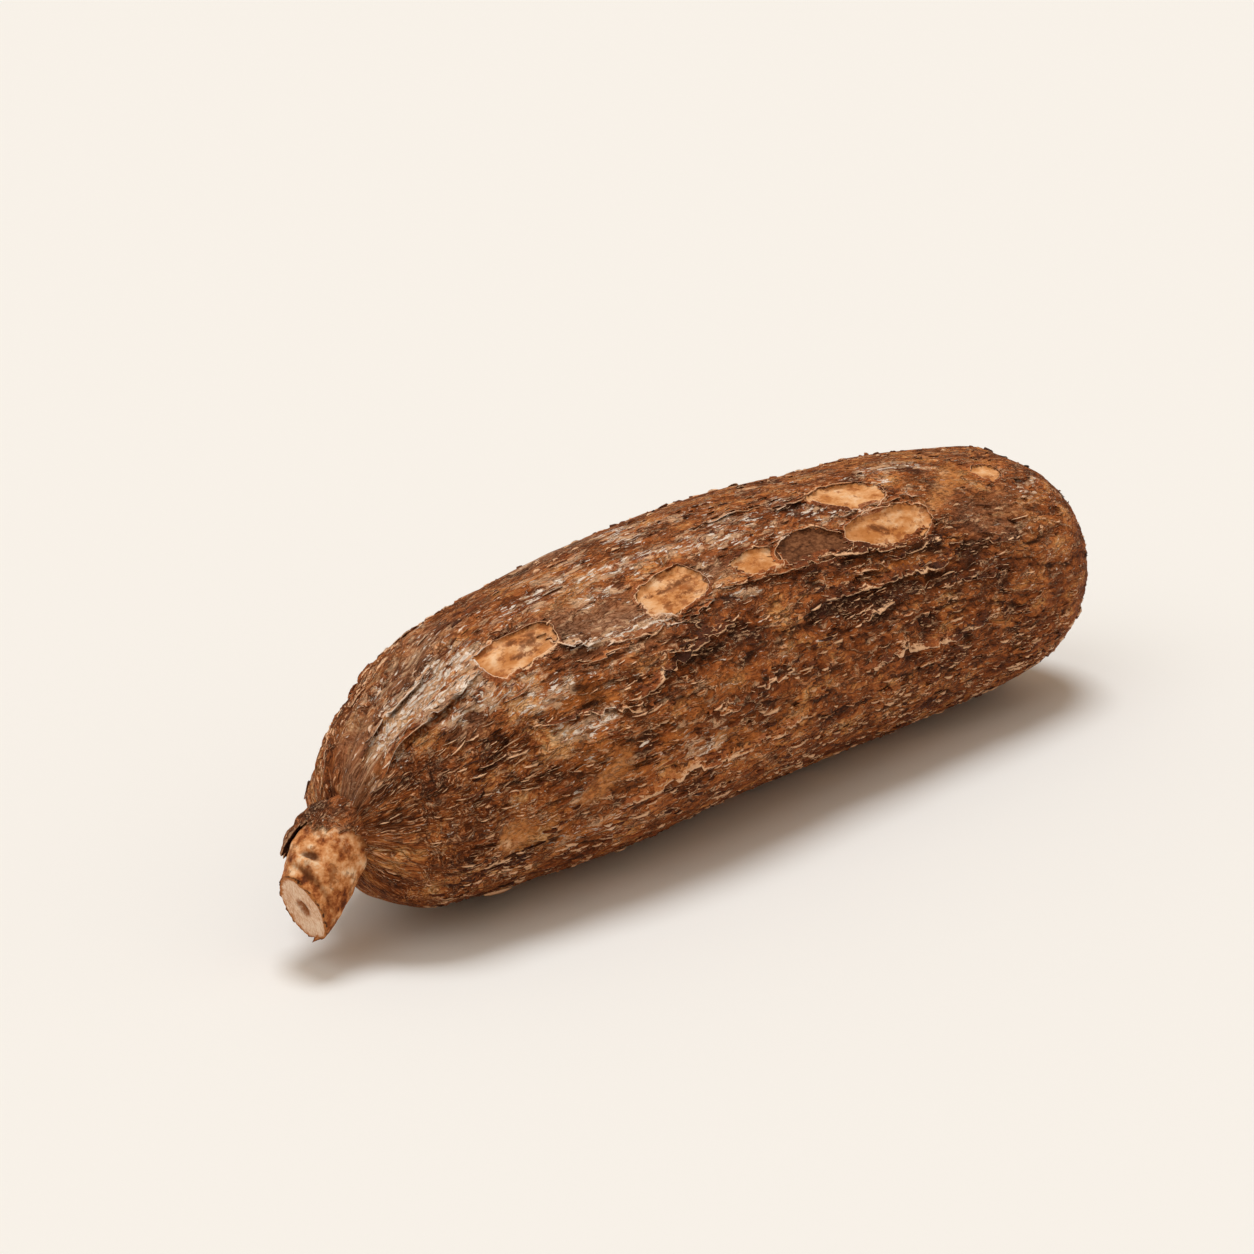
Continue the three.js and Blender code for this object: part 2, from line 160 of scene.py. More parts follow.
def soft_curve(share: Array, start: Array, end: Array, leave: Array, arrive: Array) -> Array:
    """Return the soft curve from start to end that leaves and arrives with the given slopes."""
    cube, square = share**3, share**2
    return ((2 * cube - 3 * square + 1) * start + (cube - 2 * square + share) * leave
            + (3 * square - 2 * cube) * end + (cube - square) * arrive)


def smooth_path(corners: Array, closed: bool, step: float) -> Array:
    """Draw a soft curve through some corners.

    Args:
        corners: the corners, two numbers each.
        closed: whether the curve returns to its start.
        step: spacing of the points that come back.

    Returns:
        Evenly spaced points along the curve.
    """
    count = len(corners)
    tension = OUTLINE_TENSION if closed else EDGE_TENSION
    share = np.linspace(0.0, 1.0, 40, endpoint=False)[:, None]
    dense = []
    for index in range(count if closed else count - 1):
        places = np.arange(index - 1, index + 3)
        near = corners[places % count if closed else np.clip(places, 0, count - 1)]
        leave, arrive = tension * (near[2] - near[0]), tension * (near[3] - near[1])
        dense.append(soft_curve(share, near[1], near[2], leave, arrive))
    line = np.concatenate(dense + [corners[:1] if closed else corners[-1:]])
    run = np.concatenate([[0.0], np.cumsum(np.linalg.norm(np.diff(line, axis=0), axis=1))])
    places = np.linspace(0.0, run[-1], max(int(run[-1] / step), 8) + 1)
    if closed:
        places = places[:-1]
    return np.stack([np.interp(places, run, line[:, axis]) for axis in (0, 1)], axis=1)


def nearest_on_path(points: Array, path: Array, closed: bool) -> tuple[Array, Array, Array]:
    """Measure how far points lie from a path.

    Args:
        points: places to measure from, two numbers each.
        path: points along the path.
        closed: whether its end joins its start.

    Returns:
        The distance, the side (1 to the left of the path, -1 to the right) and the share of the path.
    """
    starts = path if closed else path[:-1]
    ends = np.roll(path, -1, axis=0) if closed else path[1:]
    best = np.full(len(points), np.inf)
    side = np.zeros(len(points))
    share = np.zeros(len(points))
    for index, (start, end) in enumerate(zip(starts, ends)):
        along = end - start
        away = points - start
        part = np.clip(away @ along / max(along @ along, 1e-9), 0.0, 1.0)
        gap = away - part[:, None] * along
        distance = np.hypot(gap[:, 0], gap[:, 1])
        closer = distance < best
        best = np.where(closer, distance, best)
        side = np.where(closer, np.sign(along[0] * away[:, 1] - along[1] * away[:, 0]), side)
        share = np.where(closer, (index + part) / len(starts), share)
    return best, side, share


def lower_side(path: Array) -> float:
    """Return 1 where the lower side of a path on the bark is to its left, and -1 to its right."""
    return float(np.sign(path[0, 1]) * np.sign(path[-1, 0] - path[0, 0]))


def taper(share: Array, power: float) -> Array:
    """Return a height that runs out at both ends of a path."""
    return np.sin(np.pi * np.clip(share, 0.02, 0.98)) ** power


def inside_outline(points: Array, outline: Array) -> Array:
    """Tell which points lie inside a closed outline."""
    inside = np.zeros(len(points), bool)
    for start, end in zip(outline, np.roll(outline, -1, axis=0)):
        crosses = (start[1] > points[:, 1]) != (end[1] > points[:, 1])
        rise = end[1] - start[1]
        reach = start[0] + (points[:, 1] - start[1]) * (end[0] - start[0]) / (rise if rise else 1e-9)
        inside ^= crosses & (points[:, 0] < reach)
    return inside


class Profile:
    """A soft curve through measured stations, as the part's source reads them."""

    def __init__(self, stations: Sequence[tuple[float, ...]]) -> None:
        """Keep the stations and work out the slope at each."""
        table = np.array(stations, float)
        self.places = table[:, 0]
        self.values = table[:, 1:]
        rise = np.diff(self.values, axis=0) / np.diff(self.places)[:, None]
        self.slopes = np.empty_like(self.values)
        self.slopes[0], self.slopes[-1] = rise[0], rise[-1]
        reach = (self.places[2:] - self.places[:-2])[:, None]
        self.slopes[1:-1] = (self.values[2:] - self.values[:-2]) / reach

    def read(self, places: Array | float) -> Array:
        """Return the curve's values at some places, with the values on the last axis."""
        places = np.asarray(places, float)
        cell = np.clip(np.searchsorted(self.places, places, side="right") - 1, 0, len(self.places) - 2)
        gap = self.places[cell + 1] - self.places[cell]
        share = np.clip((places - self.places[cell]) / gap, 0.0, 1.0)[..., None]
        leave, arrive = gap[..., None] * self.slopes[cell], gap[..., None] * self.slopes[cell + 1]
        return soft_curve(share, self.values[cell], self.values[cell + 1], leave, arrive)


class Tint(Enum):
    """What a wash of colour does to the bark."""

    DUST = "dust"
    WARM = "warm"
    # Darker bark; some DARK strokes are painted shadow below lifted edges and in the neck hollow.
    DARK = "dark"
    PLATE = "plate"


@dataclass(frozen=True)
class Patch:
    """A place where the bark has peeled off: depth in mm, tone from dark (0) to pale (1), outline."""

    depth: float
    tone: float
    outline: Path

    @property
    def crisp(self) -> bool:
        """Tell whether the bark round the patch ends in a sharp lip."""
        return not 0.0 < self.tone < CRISP_TONE


@dataclass(frozen=True)
class Lift:
    """A lifted edge of bark: height and width of its slope in mm, and its path."""

    height: float
    width: float
    path: Path


@dataclass(frozen=True)
class Crease:
    """A fine furrow in the bark: depth and half width in mm, and its path."""

    depth: float
    width: float
    path: Path


@dataclass(frozen=True)
class Wash:
    """A soft stroke of colour on the bark: its half width in mm, strength and path."""

    width: float
    strength: float
    path: Path


PATCHES = {name: Patch(*row) for name, row in {
    "shoulder": (0.9, 0.70, [(-94, 17), (-75, 21), (-76, 34), (-94, 35)]),
    "middle": (0.9, 1.0, [(-47, 29), (-38, 25), (-30, 26), (-26, 33), (-28, 41), (-35, 43), (-44, 44),
                          (-49, 38)]),
    "small": (0.7, 0.75, [(-16, 35), (-7, 32), (1, 35), (-1, 43), (-11, 44)]),
    "dark": (0.5, 0.0, [(1, 36), (10, 32), (19, 32), (27, 38), (28, 45), (17, 48), (3, 46), (-1, 41)]),
    "upper": (0.9, 1.0, [(27, 18), (38, 14), (50, 16), (56, 22), (53, 30), (42, 32), (34, 28)]),
    "lower": (1.0, 0.70, [(30, 36), (42, 33), (58, 34), (65, 39), (63, 46), (54, 51), (34, 48), (28, 43)]),
    "far": (0.5, 0.8, [(97, 20), (105, 19), (108, 24), (102, 31), (96, 29)]),
    "band": (0.4, 0.6, [(86, 17), (95, 14), (90, 25), (79, 36), (66, 43), (66, 36), (76, 27)]),
    "neck": (0.5, 0.62, [(-106, 95), (-101, 94), (-97, 99), (-96, 106), (-100, 112), (-104, 113),
                         (-107, 104)]),
    "flank": (0.5, 0.45, [(-84, 97), (-81, 90), (-75, 85), (-69, 82), (-68, 88), (-72, 95), (-76, 101),
                          (-82, 103)]),
    "rear_shoulder": (0.8, 0.9, [(-84, -76), (-68, -80), (-64, -67), (-82, -66)]),
    "rear_middle": (0.9, 1.0, [(-6, -78), (12, -84), (18, -72), (4, -64), (-8, -68)]),
    "rear_small": (0.7, 0.6, [(-38, -108), (-28, -114), (-24, -104), (-34, -98)]),
    "rear_far": (0.9, 0.9, [(62, -70), (80, -74), (86, -62), (72, -56), (60, -60)]),
    "rear_low": (0.7, 0.7, [(92, -118), (104, -122), (106, -110), (95, -108)]),
}.items()}

LIFTS = {name: Lift(*row) for name, row in {
    "neck_ridge": (1.5, 5, [(-96, 25), (-105, 27), (-115, 25), (-122, 23), (-126, 30)]),
    "neck_fold": (1.1, 4, [(-100, 4), (-112, 3), (-120, 1), (-126, 2)]),
    "shoulder_edge": (0.9, 4, [(-77, 29), (-75, 35), (-71, 39), (-66, 41)]),
    "bridge": (0.9, 5, [(-64, 43), (-56, 47), (-48, 46)]),
    "diagonal": (1.2, 6, [(-66, 69), (-57, 64), (-48, 60), (-38, 58), (-27, 57)]),
    "long": (1.3, 6, [(-25, 43), (-12, 45), (4, 46), (22, 47), (36, 50), (49, 51), (61, 48)]),
    "below": (1.1, 6, [(8, 62), (22, 63), (40, 63), (56, 64), (68, 61)]),
    "short": (0.9, 5, [(20, 75), (28, 72), (36, 71)]),
    "top": (0.8, 5, [(14, 20), (22, 19), (29, 17)]),
    "between": (0.9, 5, [(32, 32), (46, 31), (58, 31), (68, 34)]),
    "belly": (0.9, 6, [(-70, 108), (-50, 104), (-26, 106), (-4, 103)]),
    "flank": (0.9, 6, [(18, 96), (38, 92), (60, 94), (82, 90)]),
    "rear_upper": (1.1, 6, [(-98, -60), (-76, -56), (-52, -60), (-30, -56)]),
    "rear_long": (1.3, 7, [(-22, -55), (8, -57), (34, -54), (56, -58)]),
    "rear_middle": (1.1, 6, [(-78, -84), (-56, -88), (-28, -85)]),
    "rear_far": (1.0, 6, [(36, -92), (62, -95), (88, -92), (106, -94)]),
    "rear_end": (0.8, 5, [(88, -56), (104, -60), (116, -56)]),
    "rear_low": (1.0, 6, [(-30, -122), (-6, -124), (22, -121)]),
    "fine_plate": (0.5, 3, [(-74, 46), (-66, 47), (-58, 48)]),
    "fine_middle": (0.5, 3, [(-47, 47), (-38, 48), (-29, 45)]),
    "fine_belt": (0.6, 3, [(20, 56), (34, 56), (47, 55), (62, 54)]),
    "fine_far": (0.6, 3, [(57, 73), (68, 72), (82, 75)]),
    "fine_end": (0.5, 3, [(72, 60), (84, 60), (94, 62)]),
    "fine_front": (0.5, 3, [(-92, 60), (-82, 64), (-74, 66), (-60, 74)]),
    "fine_low": (0.5, 3, [(-44, 84), (-34, 86), (-22, 82), (-10, 84)]),
    "fine_crown": (0.5, 3, [(-14, 14), (-2, 12), (10, 14)]),
}.items()}

CREASES = {name: Crease(*row) for name, row in {
    "neck_furrow": (0.6, 0.5, [(-96, 28), (-105, 30), (-115, 28), (-122, 27), (-128, 34)]),
    "neck_hollow": (2.0, 3.2, [(-127, 52), (-129, 66), (-130, 83)]),
    "rear_fold": (0.7, 0.8, [(-104, -18), (-113, -20), (-120, -18), (-128, -15)]),
    "fine_fold": (0.6, 0.7, [(-92, 10), (-103, 13), (-112, 15), (-120, 14)]),
    "low_first": (1.0, 0.7, [(-129, 128), (-124, 118), (-116, 118), (-102, 126)]),
    "low_second": (1.0, 0.7, [(-127, 142), (-119, 130), (-106, 133), (-94, 132)]),
    "low_third": (0.9, 0.7, [(-84, 124), (-71, 128), (-55, 128)]),
    "low_hook": (0.9, 0.7, [(-98, 120), (-91, 118), (-88, 113)]),
    "low_long": (0.7, 0.6, [(-60, 117), (-40, 121), (-18, 118), (6, 120)]),
    "far_fold": (0.7, 0.8, [(59, 73), (68, 73), (81, 77), (94, 74)]),
    "far_short": (0.6, 0.7, [(92, 50), (98, 56), (101, 64)]),
    "rear_first": (0.7, 0.7, [(-60, -104), (-38, -101), (-12, -104)]),
    "rear_second": (0.7, 0.7, [(8, -40), (30, -42), (56, -38), (80, -41)]),
    "rear_third": (0.6, 0.7, [(-96, -96), (-82, -100), (-66, -97)]),
}.items()}

WASHES = {tint: [Wash(*stroke) for stroke in strokes] for tint, strokes in {
    Tint.DUST: [
        (4.6, 1, [(-122, 10), (-115, 7), (-107, 9), (-101, 10), (-93, 14)]),
        (3.4, 1, [(-114, 21), (-105, 23), (-98, 26)]), (2.4, 0.9, [(-112, 33), (-105, 36), (-98, 38)]),
        (5, 0.45, [(-117, -30), (-113, -20), (-102, -16), (-90, -10)]),
        (2.5, 0.8, [(-98, 36), (-92, 41), (-85, 42)]), (3, 0.85, [(-95, 49), (-88, 52), (-80, 50)]),
        (5, 0.6, [(-80, 6), (-68, 10), (-57, 4), (-46, -4)]), (3, 0.8, [(-62, 22), (-57, 20), (-52, 22)]),
        (3.2, 0.65, [(-64, 12), (-58, 11), (-50, 13)]),
        (3.4, 0.8, [(-42, 12), (-31, 16), (-22, 20), (-12, 20)]), (4, 0.5, [(-30, -6), (-10, 0), (6, -2)]),
        (2.2, 0.8, [(-74, 37), (-66, 40), (-54, 42), (-44, 46)]),
        (2.6, 0.6, [(-29, 46), (-23, 47), (-15, 48)]), (3.2, 0.6, [(0, 18), (12, 18), (22, 12)]),
        (3.4, 0.7, [(58, 10), (66, 11), (75, 9), (82, 15)]), (2.2, 0.6, [(26, 31), (32, 30), (38, 32)]),
        (2.8, 0.9, [(-86, 66), (-80, 70), (-73, 69)]), (4, 0.65, [(-52, 92), (-44, 98), (-38, 94)]),
        (4.5, 0.5, [(-88, 112), (-78, 116), (-66, 114)]), (5, 0.6, [(-60, -44), (-38, -48), (-20, -44)]),
        (5, 0.6, [(30, -76), (48, -80), (64, -84)]), (4.5, 0.5, [(96, -40), (104, -52), (110, -66)]),
        (14, 0.26, [(-112, 82), (-84, 88), (-50, 84), (-20, 86)]),
        (9, 0.24, [(104, 76), (122, 66), (130, 50)]),
    ],
    Tint.WARM: [
        (6, 1, [(-80, 84), (-73, 87), (-66, 88)]), (5, 0.9, [(-105, 103), (-99, 104)]),
        (4, 0.7, [(-64, 82), (-56, 84), (-49, 86)]), (4, 0.6, [(-47, 77), (-38, 78), (-31, 76)]),
        (3, 1, [(-112, 14), (-119, 13), (-124, 18), (-127, 26)]),
        (4.5, 0.7, [(-85, 54), (-78, 58), (-70, 61)]), (3, 0.7, [(26, 59), (40, 58), (52, 59)]),
        (7, 0.9, [(90, 30), (97, 40), (98, 54)]), (6, 0.7, [(-50, 100), (-30, 104), (-6, 102)]),
        (4, 0.5, [(64, 22), (72, 26)]), (5, 0.5, [(-66, 32), (-60, 14), (-54, 12)]),
        (6, 0.7, [(-60, -70), (-48, -74), (-34, -70)]), (7, 0.7, [(20, -106), (34, -110), (46, -104)]),
        (6, 0.6, [(84, -86), (94, -80), (102, -84)]), (5, 0.6, [(-92, 100), (-84, 112), (-72, 116)]),
    ],
    Tint.DARK: [
        (1.5, 1, [(42, 39), (46, 43), (49, 43)]), (1.1, 0.9, [(-45, 32), (-40, 32), (-34, 32), (-29, 32)]),
        (1, 0.7, [(-42, 39), (-37, 38), (-31, 37)]), (2, 1, [(-84, 23), (-82, 25), (-79, 25)]),
        (1, 0.8, [(-90, 29), (-85, 30), (-81, 31)]), (6, 0.5, [(-110, 57), (-104, 64), (-98, 68)]),
        # The last stroke on the next line, along the neck hollow, is painted shade.
        (6, 0.8, [(-46, 62), (-34, 63), (-22, 63)]), (4, 0.7, [(-127, 44), (-130, 60), (-130, 84)]),
        (5, 0.3, [(-90, 78), (-82, 76), (-74, 76)]), (8, 0.6, [(126, 30), (134, 56), (136, 84)]),
        (7, 0.8, [(6, 66), (20, 70), (34, 76)]),
        # The next three strokes run just below the long, below and diagonal lifts: painted shadow under
        # their edges.
        (2.2, 0.9, [(-25, 48), (4, 50), (22, 51), (36, 54), (49, 55), (66, 52)]),
        (2.4, 0.9, [(8, 66), (22, 67), (40, 67), (56, 68), (74, 66)]),
        (2, 0.8, [(-66, 73), (-57, 68), (-48, 64), (-38, 62), (-27, 61)]),
        (2.2, 0.8, [(40, 60), (56, 60), (76, 58), (96, 60)]), (7, 0.5, [(-10, -96), (6, -100), (24, -94)]),
    ],
    Tint.PLATE: [
        (7.5, 1, [(-70, 30), (-62, 34), (-54, 38)]), (4.5, 0.8, [(-24, 34), (-20, 36)]),
        (6, 0.7, [(-106, -8), (-98, -12), (-90, -16)]), (4, 0.6, [(-110, 40), (-106, 42)]),
        (8, 0.6, [(80, 48), (90, 50), (96, 46)]), (6, 0.8, [(-121, -16), (-128, -2), (-130, 16)]),
        (8, 0.9, [(-50, -30), (-40, -28), (-30, -32)]), (8, 0.8, [(26, -66), (36, -68), (48, -66)]),
    ],
}.items()}


@dataclass(frozen=True)
class Folds:
    """A family of long soft folds: how many, how high, where they lie and how they wander.

    Each fold draws its own height, from `least` to `least + varied` of `height`, its place along
    the root, from `first` to `first + spread`, and its length, from `reach` to `reach + reach_varied`.
    """

    count: int
    height: float
    least: float
    varied: float
    first: float
    spread: float
    reach: float
    reach_varied: float
    stride: float
    shift: float
    wander: float
    pace: float

    def place(self, fold: int) -> float:
        """Return a fold's place along the root."""
        return self.first + self.spread * chance(fold, 2)

    def size(self, fold: int) -> float:
        """Return a fold's height."""
        return self.height * (self.least + self.varied * chance(fold, 4))

    def length(self, fold: int) -> float:
        """Return a fold's length, or the length over which it fades."""
        return self.reach + self.reach_varied * chance(fold, 5)

    def home(self, fold: int, x: Array) -> Array:
        """Return the angle that a fold follows along the root."""
        sway = self.wander * np.sin(x / self.pace + FOLD_PHASES * chance(fold, 3))
        return (fold + self.shift * chance(fold, 1)) * (360.0 / self.count) * self.stride + sway


@dataclass(frozen=True)
class RootForm:
    """The root's measured form, with the sizes and formulas of the part's source, in millimetres."""

    neck_x: float = -132.2
    tip_x: float = 148.0
    neck_rounding: float = 24.2
    tip_rounding: float = 34.0
    rounding_power: float = 2.2
    girth: Profile = Profile([
        (-132, 21), (-108, 25.6), (-90, 30.7), (-65, 34.1), (-30, 36.4), (20, 37), (70, 36.4),
        (100, 35), (118, 33.6), (148, 32),
    ])
    middle: Profile = Profile([
        (-132, -2.5, 28.4), (-116, -1.8, 29.8), (-100, 1.2, 31.2), (-85, 2.3, 32.8), (-60, 1.0, 34.8),
        (-30, 0.9, 36.8), (20, 1.3, 37.4), (70, -0.2, 36.9), (105, -3.9, 35.9), (148, -3.7, 35.4),
    ])
    swellings: Sequence[tuple[float, int, float, float]] = (
        (0.32, 2, 41, 0.6), (0.26, 3, -29, 2.1), (0.20, 5, 19, 4.0), (0.20, 1, 13, 1.3), (0.14, 4, -9, 5.2),
    )
    neck_folds: Folds = Folds(22, 0.5, 0.5, 1.0, -100.0, 90.0, 30.0, 0.0, 1.0, 0.6, 4.0, 33.0)
    neck_gather: float = 0.9
    gather_from: float = 104.0
    gather_to: float = 126.0
    long_folds: Folds = Folds(30, 0.7, 0.4, 0.8, -70.0, 190.0, 16.0, 30.0, 7.0, 0.8, 3.0, 27.0)
    fold_width: float = 4.2
    rest_x: float = 12.0
    rest_swell: float = 1.7
    rest_spread: float = 22.0
    rest_calm: float = 30.0
    rest_calm_share: float = 0.8
    slope_step: float = 0.02

    def radius(self, x: Array) -> Array:
        """Return the body's radius at some lengths."""
        near_neck = np.maximum((self.neck_x + self.neck_rounding - x) / self.neck_rounding, 0.0)
        near_tip = np.maximum((x - self.tip_x + self.tip_rounding) / self.tip_rounding, 0.0)
        ends = np.sqrt(np.maximum(1.0 - near_neck**self.rounding_power, 0.0))
        ends = ends * np.sqrt(np.maximum(1.0 - near_tip**self.rounding_power, 0.0))
        return self.girth.read(x)[..., 0] * ends

    def facing(self, x: Array) -> tuple[Array, Array]:
        """Return how far the bark faces outwards, and how far its girth grows along the root."""
        growth = self.radius(x + self.slope_step) - self.radius(x - self.slope_step)
        size = np.hypot(2 * self.slope_step, growth)
        return 2 * self.slope_step / size, growth / size

    def folds(self, x: Array, angle: Array) -> Array:
        """Return the height of the long soft folds."""
        gather = 1.0 + self.neck_gather * smooth_step(-x, self.gather_from, self.gather_to)
        total = np.zeros(np.broadcast(x, angle).shape)
        neck, long = self.neck_folds, self.long_folds
        for fold in range(neck.count):
            fade = 1.0 - smooth_step(x, neck.place(fold), neck.place(fold) + neck.length(fold))
            ridge = bell(turn_between(angle, neck.home(fold, x)), self.fold_width)
            total += neck.size(fold) * gather * fade * ridge
        for fold in range(neck.count, neck.count + long.count):
            stretch = bell(x - long.place(fold), long.length(fold))
            ridge = bell(turn_between(angle, long.home(fold, x)), self.fold_width)
            total += long.size(fold) * stretch * ridge
        return total

    def height(self, x: Array, angle: Array) -> Array:
        """Return the height of folds, swellings and the flat spot that the root rests on."""
        radians = np.radians(angle)
        low = turn_between(angle, UNDERSIDE)
        swell = sum(size * np.sin(waves * radians + x / pace + phase)
                    for size, waves, pace, phase in self.swellings)
        calm = 1.0 - self.rest_calm_share * bell(low, self.rest_calm)
        rest = self.rest_swell * bell(x - self.rest_x, self.rest_spread) * bell(low, self.rest_spread)
        return (self.folds(x, angle) + swell) * calm + rest

    def point(self, x: Array, angle: Array, lift: Array | float = 0.0) -> Array:
        """Return points on the bark, or lift above it, that never go below the floor."""
        x, angle, lift = np.broadcast_arrays(x, angle, lift)
        outward, growth = self.facing(x)
        height = self.height(x, angle) + lift
        out = np.maximum(self.radius(x) + height * outward, 0.0)
        middle = self.middle.read(x)
        radians = np.radians(angle)
        return np.stack([
            x - height * growth,
            middle[..., 0] - out * np.sin(radians),
            np.maximum(middle[..., 1] + out * np.cos(radians), 0.0),
        ], axis=-1)


@dataclass
class Bark:
    """What the bark is like at some places: heights in mm and shares from 0 to 1."""

    height: Array
    peel: Array
    tone: Array
    # foot: strength of the painted shadow band just below a lifted edge.
    foot: Array
    relief: Array
    patina: Array


class BarkSurface:
    """The bark's relief and colour washes over the root's form, in millimetres and degrees.

    Each of the `scale_layers` says how large its scales are, the seed that draws them, how far they
    differ in height, how steeply they lie over each other, and their share in the pale tone.
    """

    least_girth = 17.0
    neck_fade = (-120.0, -90.0)
    peel_reach = 5.0
    patch_step = (-0.7, 0.05)
    # Width of the painted shadow band below a lifted edge, as a share of the lift's width.
    foot_share = 0.21
    wave_height = 0.72
    grain_height = 0.12
    strand_height = 0.28
    calm_width = 26.0
    dust_size, dust_step, dust_turn = (20.0, 9.0, 9.0), (0.54, 0.75), -10.0
    cloud_dust, top_dust = 0.6, 0.12
    scale_layers = (((15.0, 5.2, 5.2), 101, 0.36, 0.60, 0.6), ((5.6, 2.3, 2.3), 211, 0.26, 0.40, 0.4))

    def __init__(self, form: RootForm) -> None:
        """Measure the length along the bark once, for patterns that follow it."""
        self.form = form
        turn = np.linspace(0.0, math.pi, 20001)
        self.fine_x = form.neck_x + (form.tip_x - form.neck_x) * (0.5 - 0.5 * np.cos(turn))
        radius = form.radius(self.fine_x)
        steps = np.hypot(np.diff(self.fine_x), np.diff(radius))
        self.run = np.concatenate([[0.0], np.cumsum(steps)])
        self.paths = {name: self.path_of(patch.outline, True) for name, patch in PATCHES.items()}
        self.edges = {name: self.path_of(lift.path) for name, lift in LIFTS.items()}
        self.furrows = {name: self.path_of(crease.path) for name, crease in CREASES.items()}

    def arc(self, x: float) -> float:
        """Return the millimetres of bark in one degree at a length."""
        return math.radians(float(self.form.radius(np.array([x]))[0]))

    def path_of(self, corners: Path, closed: bool = False, step: float = 0.55) -> Array:
        """Return a soft path through corners, as (x, angle) points about step mm apart."""
        arc = self.arc(corners[0][0])
        return smooth_path(np.array(corners, float) * (1.0, arc), closed, step) / (1.0, arc)

    def unrolled(self, x: Array, angle: Array) -> Array:
        """Return places for patterns: length along the bark and a ring round it, without a seam."""
        run = np.interp(x, self.fine_x, self.run)
        ring = self.form.radius(x)
        near_neck = 1.0 - smooth_step(x, *self.neck_fade)
        ring = ring + near_neck * np.maximum(self.least_girth - ring, 0.0)
        return np.roll(on_rings(ring, angle, run), 1, axis=-1)

    def fall(self, angle: Array) -> Array:
        """Return the way down the side, in the unrolled ring, fading out at the top and underneath."""
        radians = np.radians(angle)
        lean = np.clip(1.8 * np.sin(radians), -1.0, 1.0)
        return np.stack([np.zeros_like(lean), -np.sin(radians) * lean, np.cos(radians) * lean], axis=-1)

    def measure(self, x: Array, angle: Array, path: Array, reach: float,
                closed: bool = False) -> tuple[Array, Array, Array, Array]:
        """Measure how far the places near a path lie from it, in mm along the bark.

        Args:
            x: lengths of the places.
            angle: angles of the places.
            path: (x, angle) points of the path.
            reach: how far from the path a place still counts.
            closed: whether the path is an outline, inside which distances are negative.

        Returns:
            Which places are near, and the distance, side and share of the path of each of those.
        """
        arc = self.arc(path[0, 0])
        home = path[:, 1].mean()
        flat = np.stack([x, turn_between(angle, home) * arc], axis=-1)
        line = np.stack([path[:, 0], (path[:, 1] - home) * arc], axis=-1)
        picked = np.all((flat > line.min(axis=0) - reach) & (flat < line.max(axis=0) + reach), axis=-1)
        if not picked.any():
            return picked, *np.zeros((3, 0))
        distance, side, share = nearest_on_path(flat[picked], line, closed)
        if closed:
            distance = np.where(inside_outline(flat[picked], line), -distance, distance)
        return picked, distance, side, share

    def read(self, x: Array, angle: Array) -> Bark:
        """Work out the bark's relief at some places."""
        peel = np.full(len(x), self.peel_reach)
        tone, sunk, raised, foot, cut = np.zeros((5, len(x)))
        for name, patch in PATCHES.items():
            picked, signed, _, _ = self.measure(x, angle, self.paths[name], self.peel_reach, True)
            tone[picked] = np.where(signed < peel[picked], patch.tone, tone[picked])
            peel[picked] = np.minimum(signed, peel[picked])
            depth = patch.depth * (1.0 - smooth_step(signed, *self.patch_step))
            sunk[picked] = np.maximum(sunk[picked], depth)
        for name, lift in LIFTS.items():
            path = self.edges[name]
            picked, distance, side, share = self.measure(x, angle, path, lift.width + 1.0)
            upper = side * lower_side(path) < 0
            slope = np.clip(1.0 - distance / lift.width, 0.0, 1.0)
            hill = np.where(upper, lift.height * taper(share, 0.6) * slope**1.2, 0.0)
            raised[picked] = np.maximum(raised[picked], hill)
            # foot: painted shadow band just below each lifted edge.
            below = np.where(upper, 0.0, taper(share, 0.6) * bell(distance, self.foot_share * lift.width))
            foot[picked] = np.maximum(foot[picked], below)
        for name, crease in CREASES.items():
            picked, distance, _, share = self.measure(x, angle, self.furrows[name], 3.0 * crease.width)
            furrow = crease.depth * taper(share, 0.5) * bell(distance, crease.width)
            cut[picked] = np.maximum(cut[picked], furrow)
        places = self.unrolled(x, angle)
        scales, patina = self.scales(x, angle)
        scales = scales * self.roughness(x, angle) * smooth_step(peel, -0.4, 0.6)
        waves = self.wave_height * (layered(places / (15.0, 8.0, 8.0), 41) - 0.5)
        grain = self.grain_height * (layered(places / (3.0, 2.2, 2.2), 77) - 0.5)
        calm = 1.0 - 0.9 * bell(turn_between(angle, UNDERSIDE), self.calm_width)
        poles = smooth_step(self.form.radius(x), 3.0, 16.0)
        furrow = 0.5 * cut * poles
        relief = (scales + waves) * calm * poles - furrow
        height = relief + raised - sunk - furrow + grain * (1.0 - smooth_step(peel, -0.6, 0.0))
        return Bark(height, peel, tone, foot, relief, patina)

    def scales(self, x: Array, angle: Array) -> tuple[Array, Array]:
        """Return the relief of overlapping scales and fibres, in mm, and how pale each scale is."""
        places = self.unrolled(x, angle)
        fall = self.fall(angle)
        bend = np.stack([layered(places / (11.0, 5.0, 5.0), seed, 2) - 0.5 for seed in (5, 9, 13)], axis=-1)
        curl = np.stack([drift(places / (3.2, 1.7, 1.7), seed) - 0.5 for seed in (23, 27, 31)], axis=-1)
        places = places + bend * (9.0, 3.4, 3.4) + curl * (2.2, 1.0, 1.0)
        strands = 1.0 - np.abs(2.0 * layered(places / (9.0, 1.7, 1.7), 307, 2) - 1.0)
        relief, pale = self.strand_height * (strands - 0.6), np.zeros(len(x))
        for size, seed, step, slope, share in self.scale_layers:
            flakes, lot = nearest_cell(places / size, seed)
            relief += step * (lot - 0.5) + slope * np.sum(flakes * fall, axis=-1)
            pale += share * lot
        return relief, pale

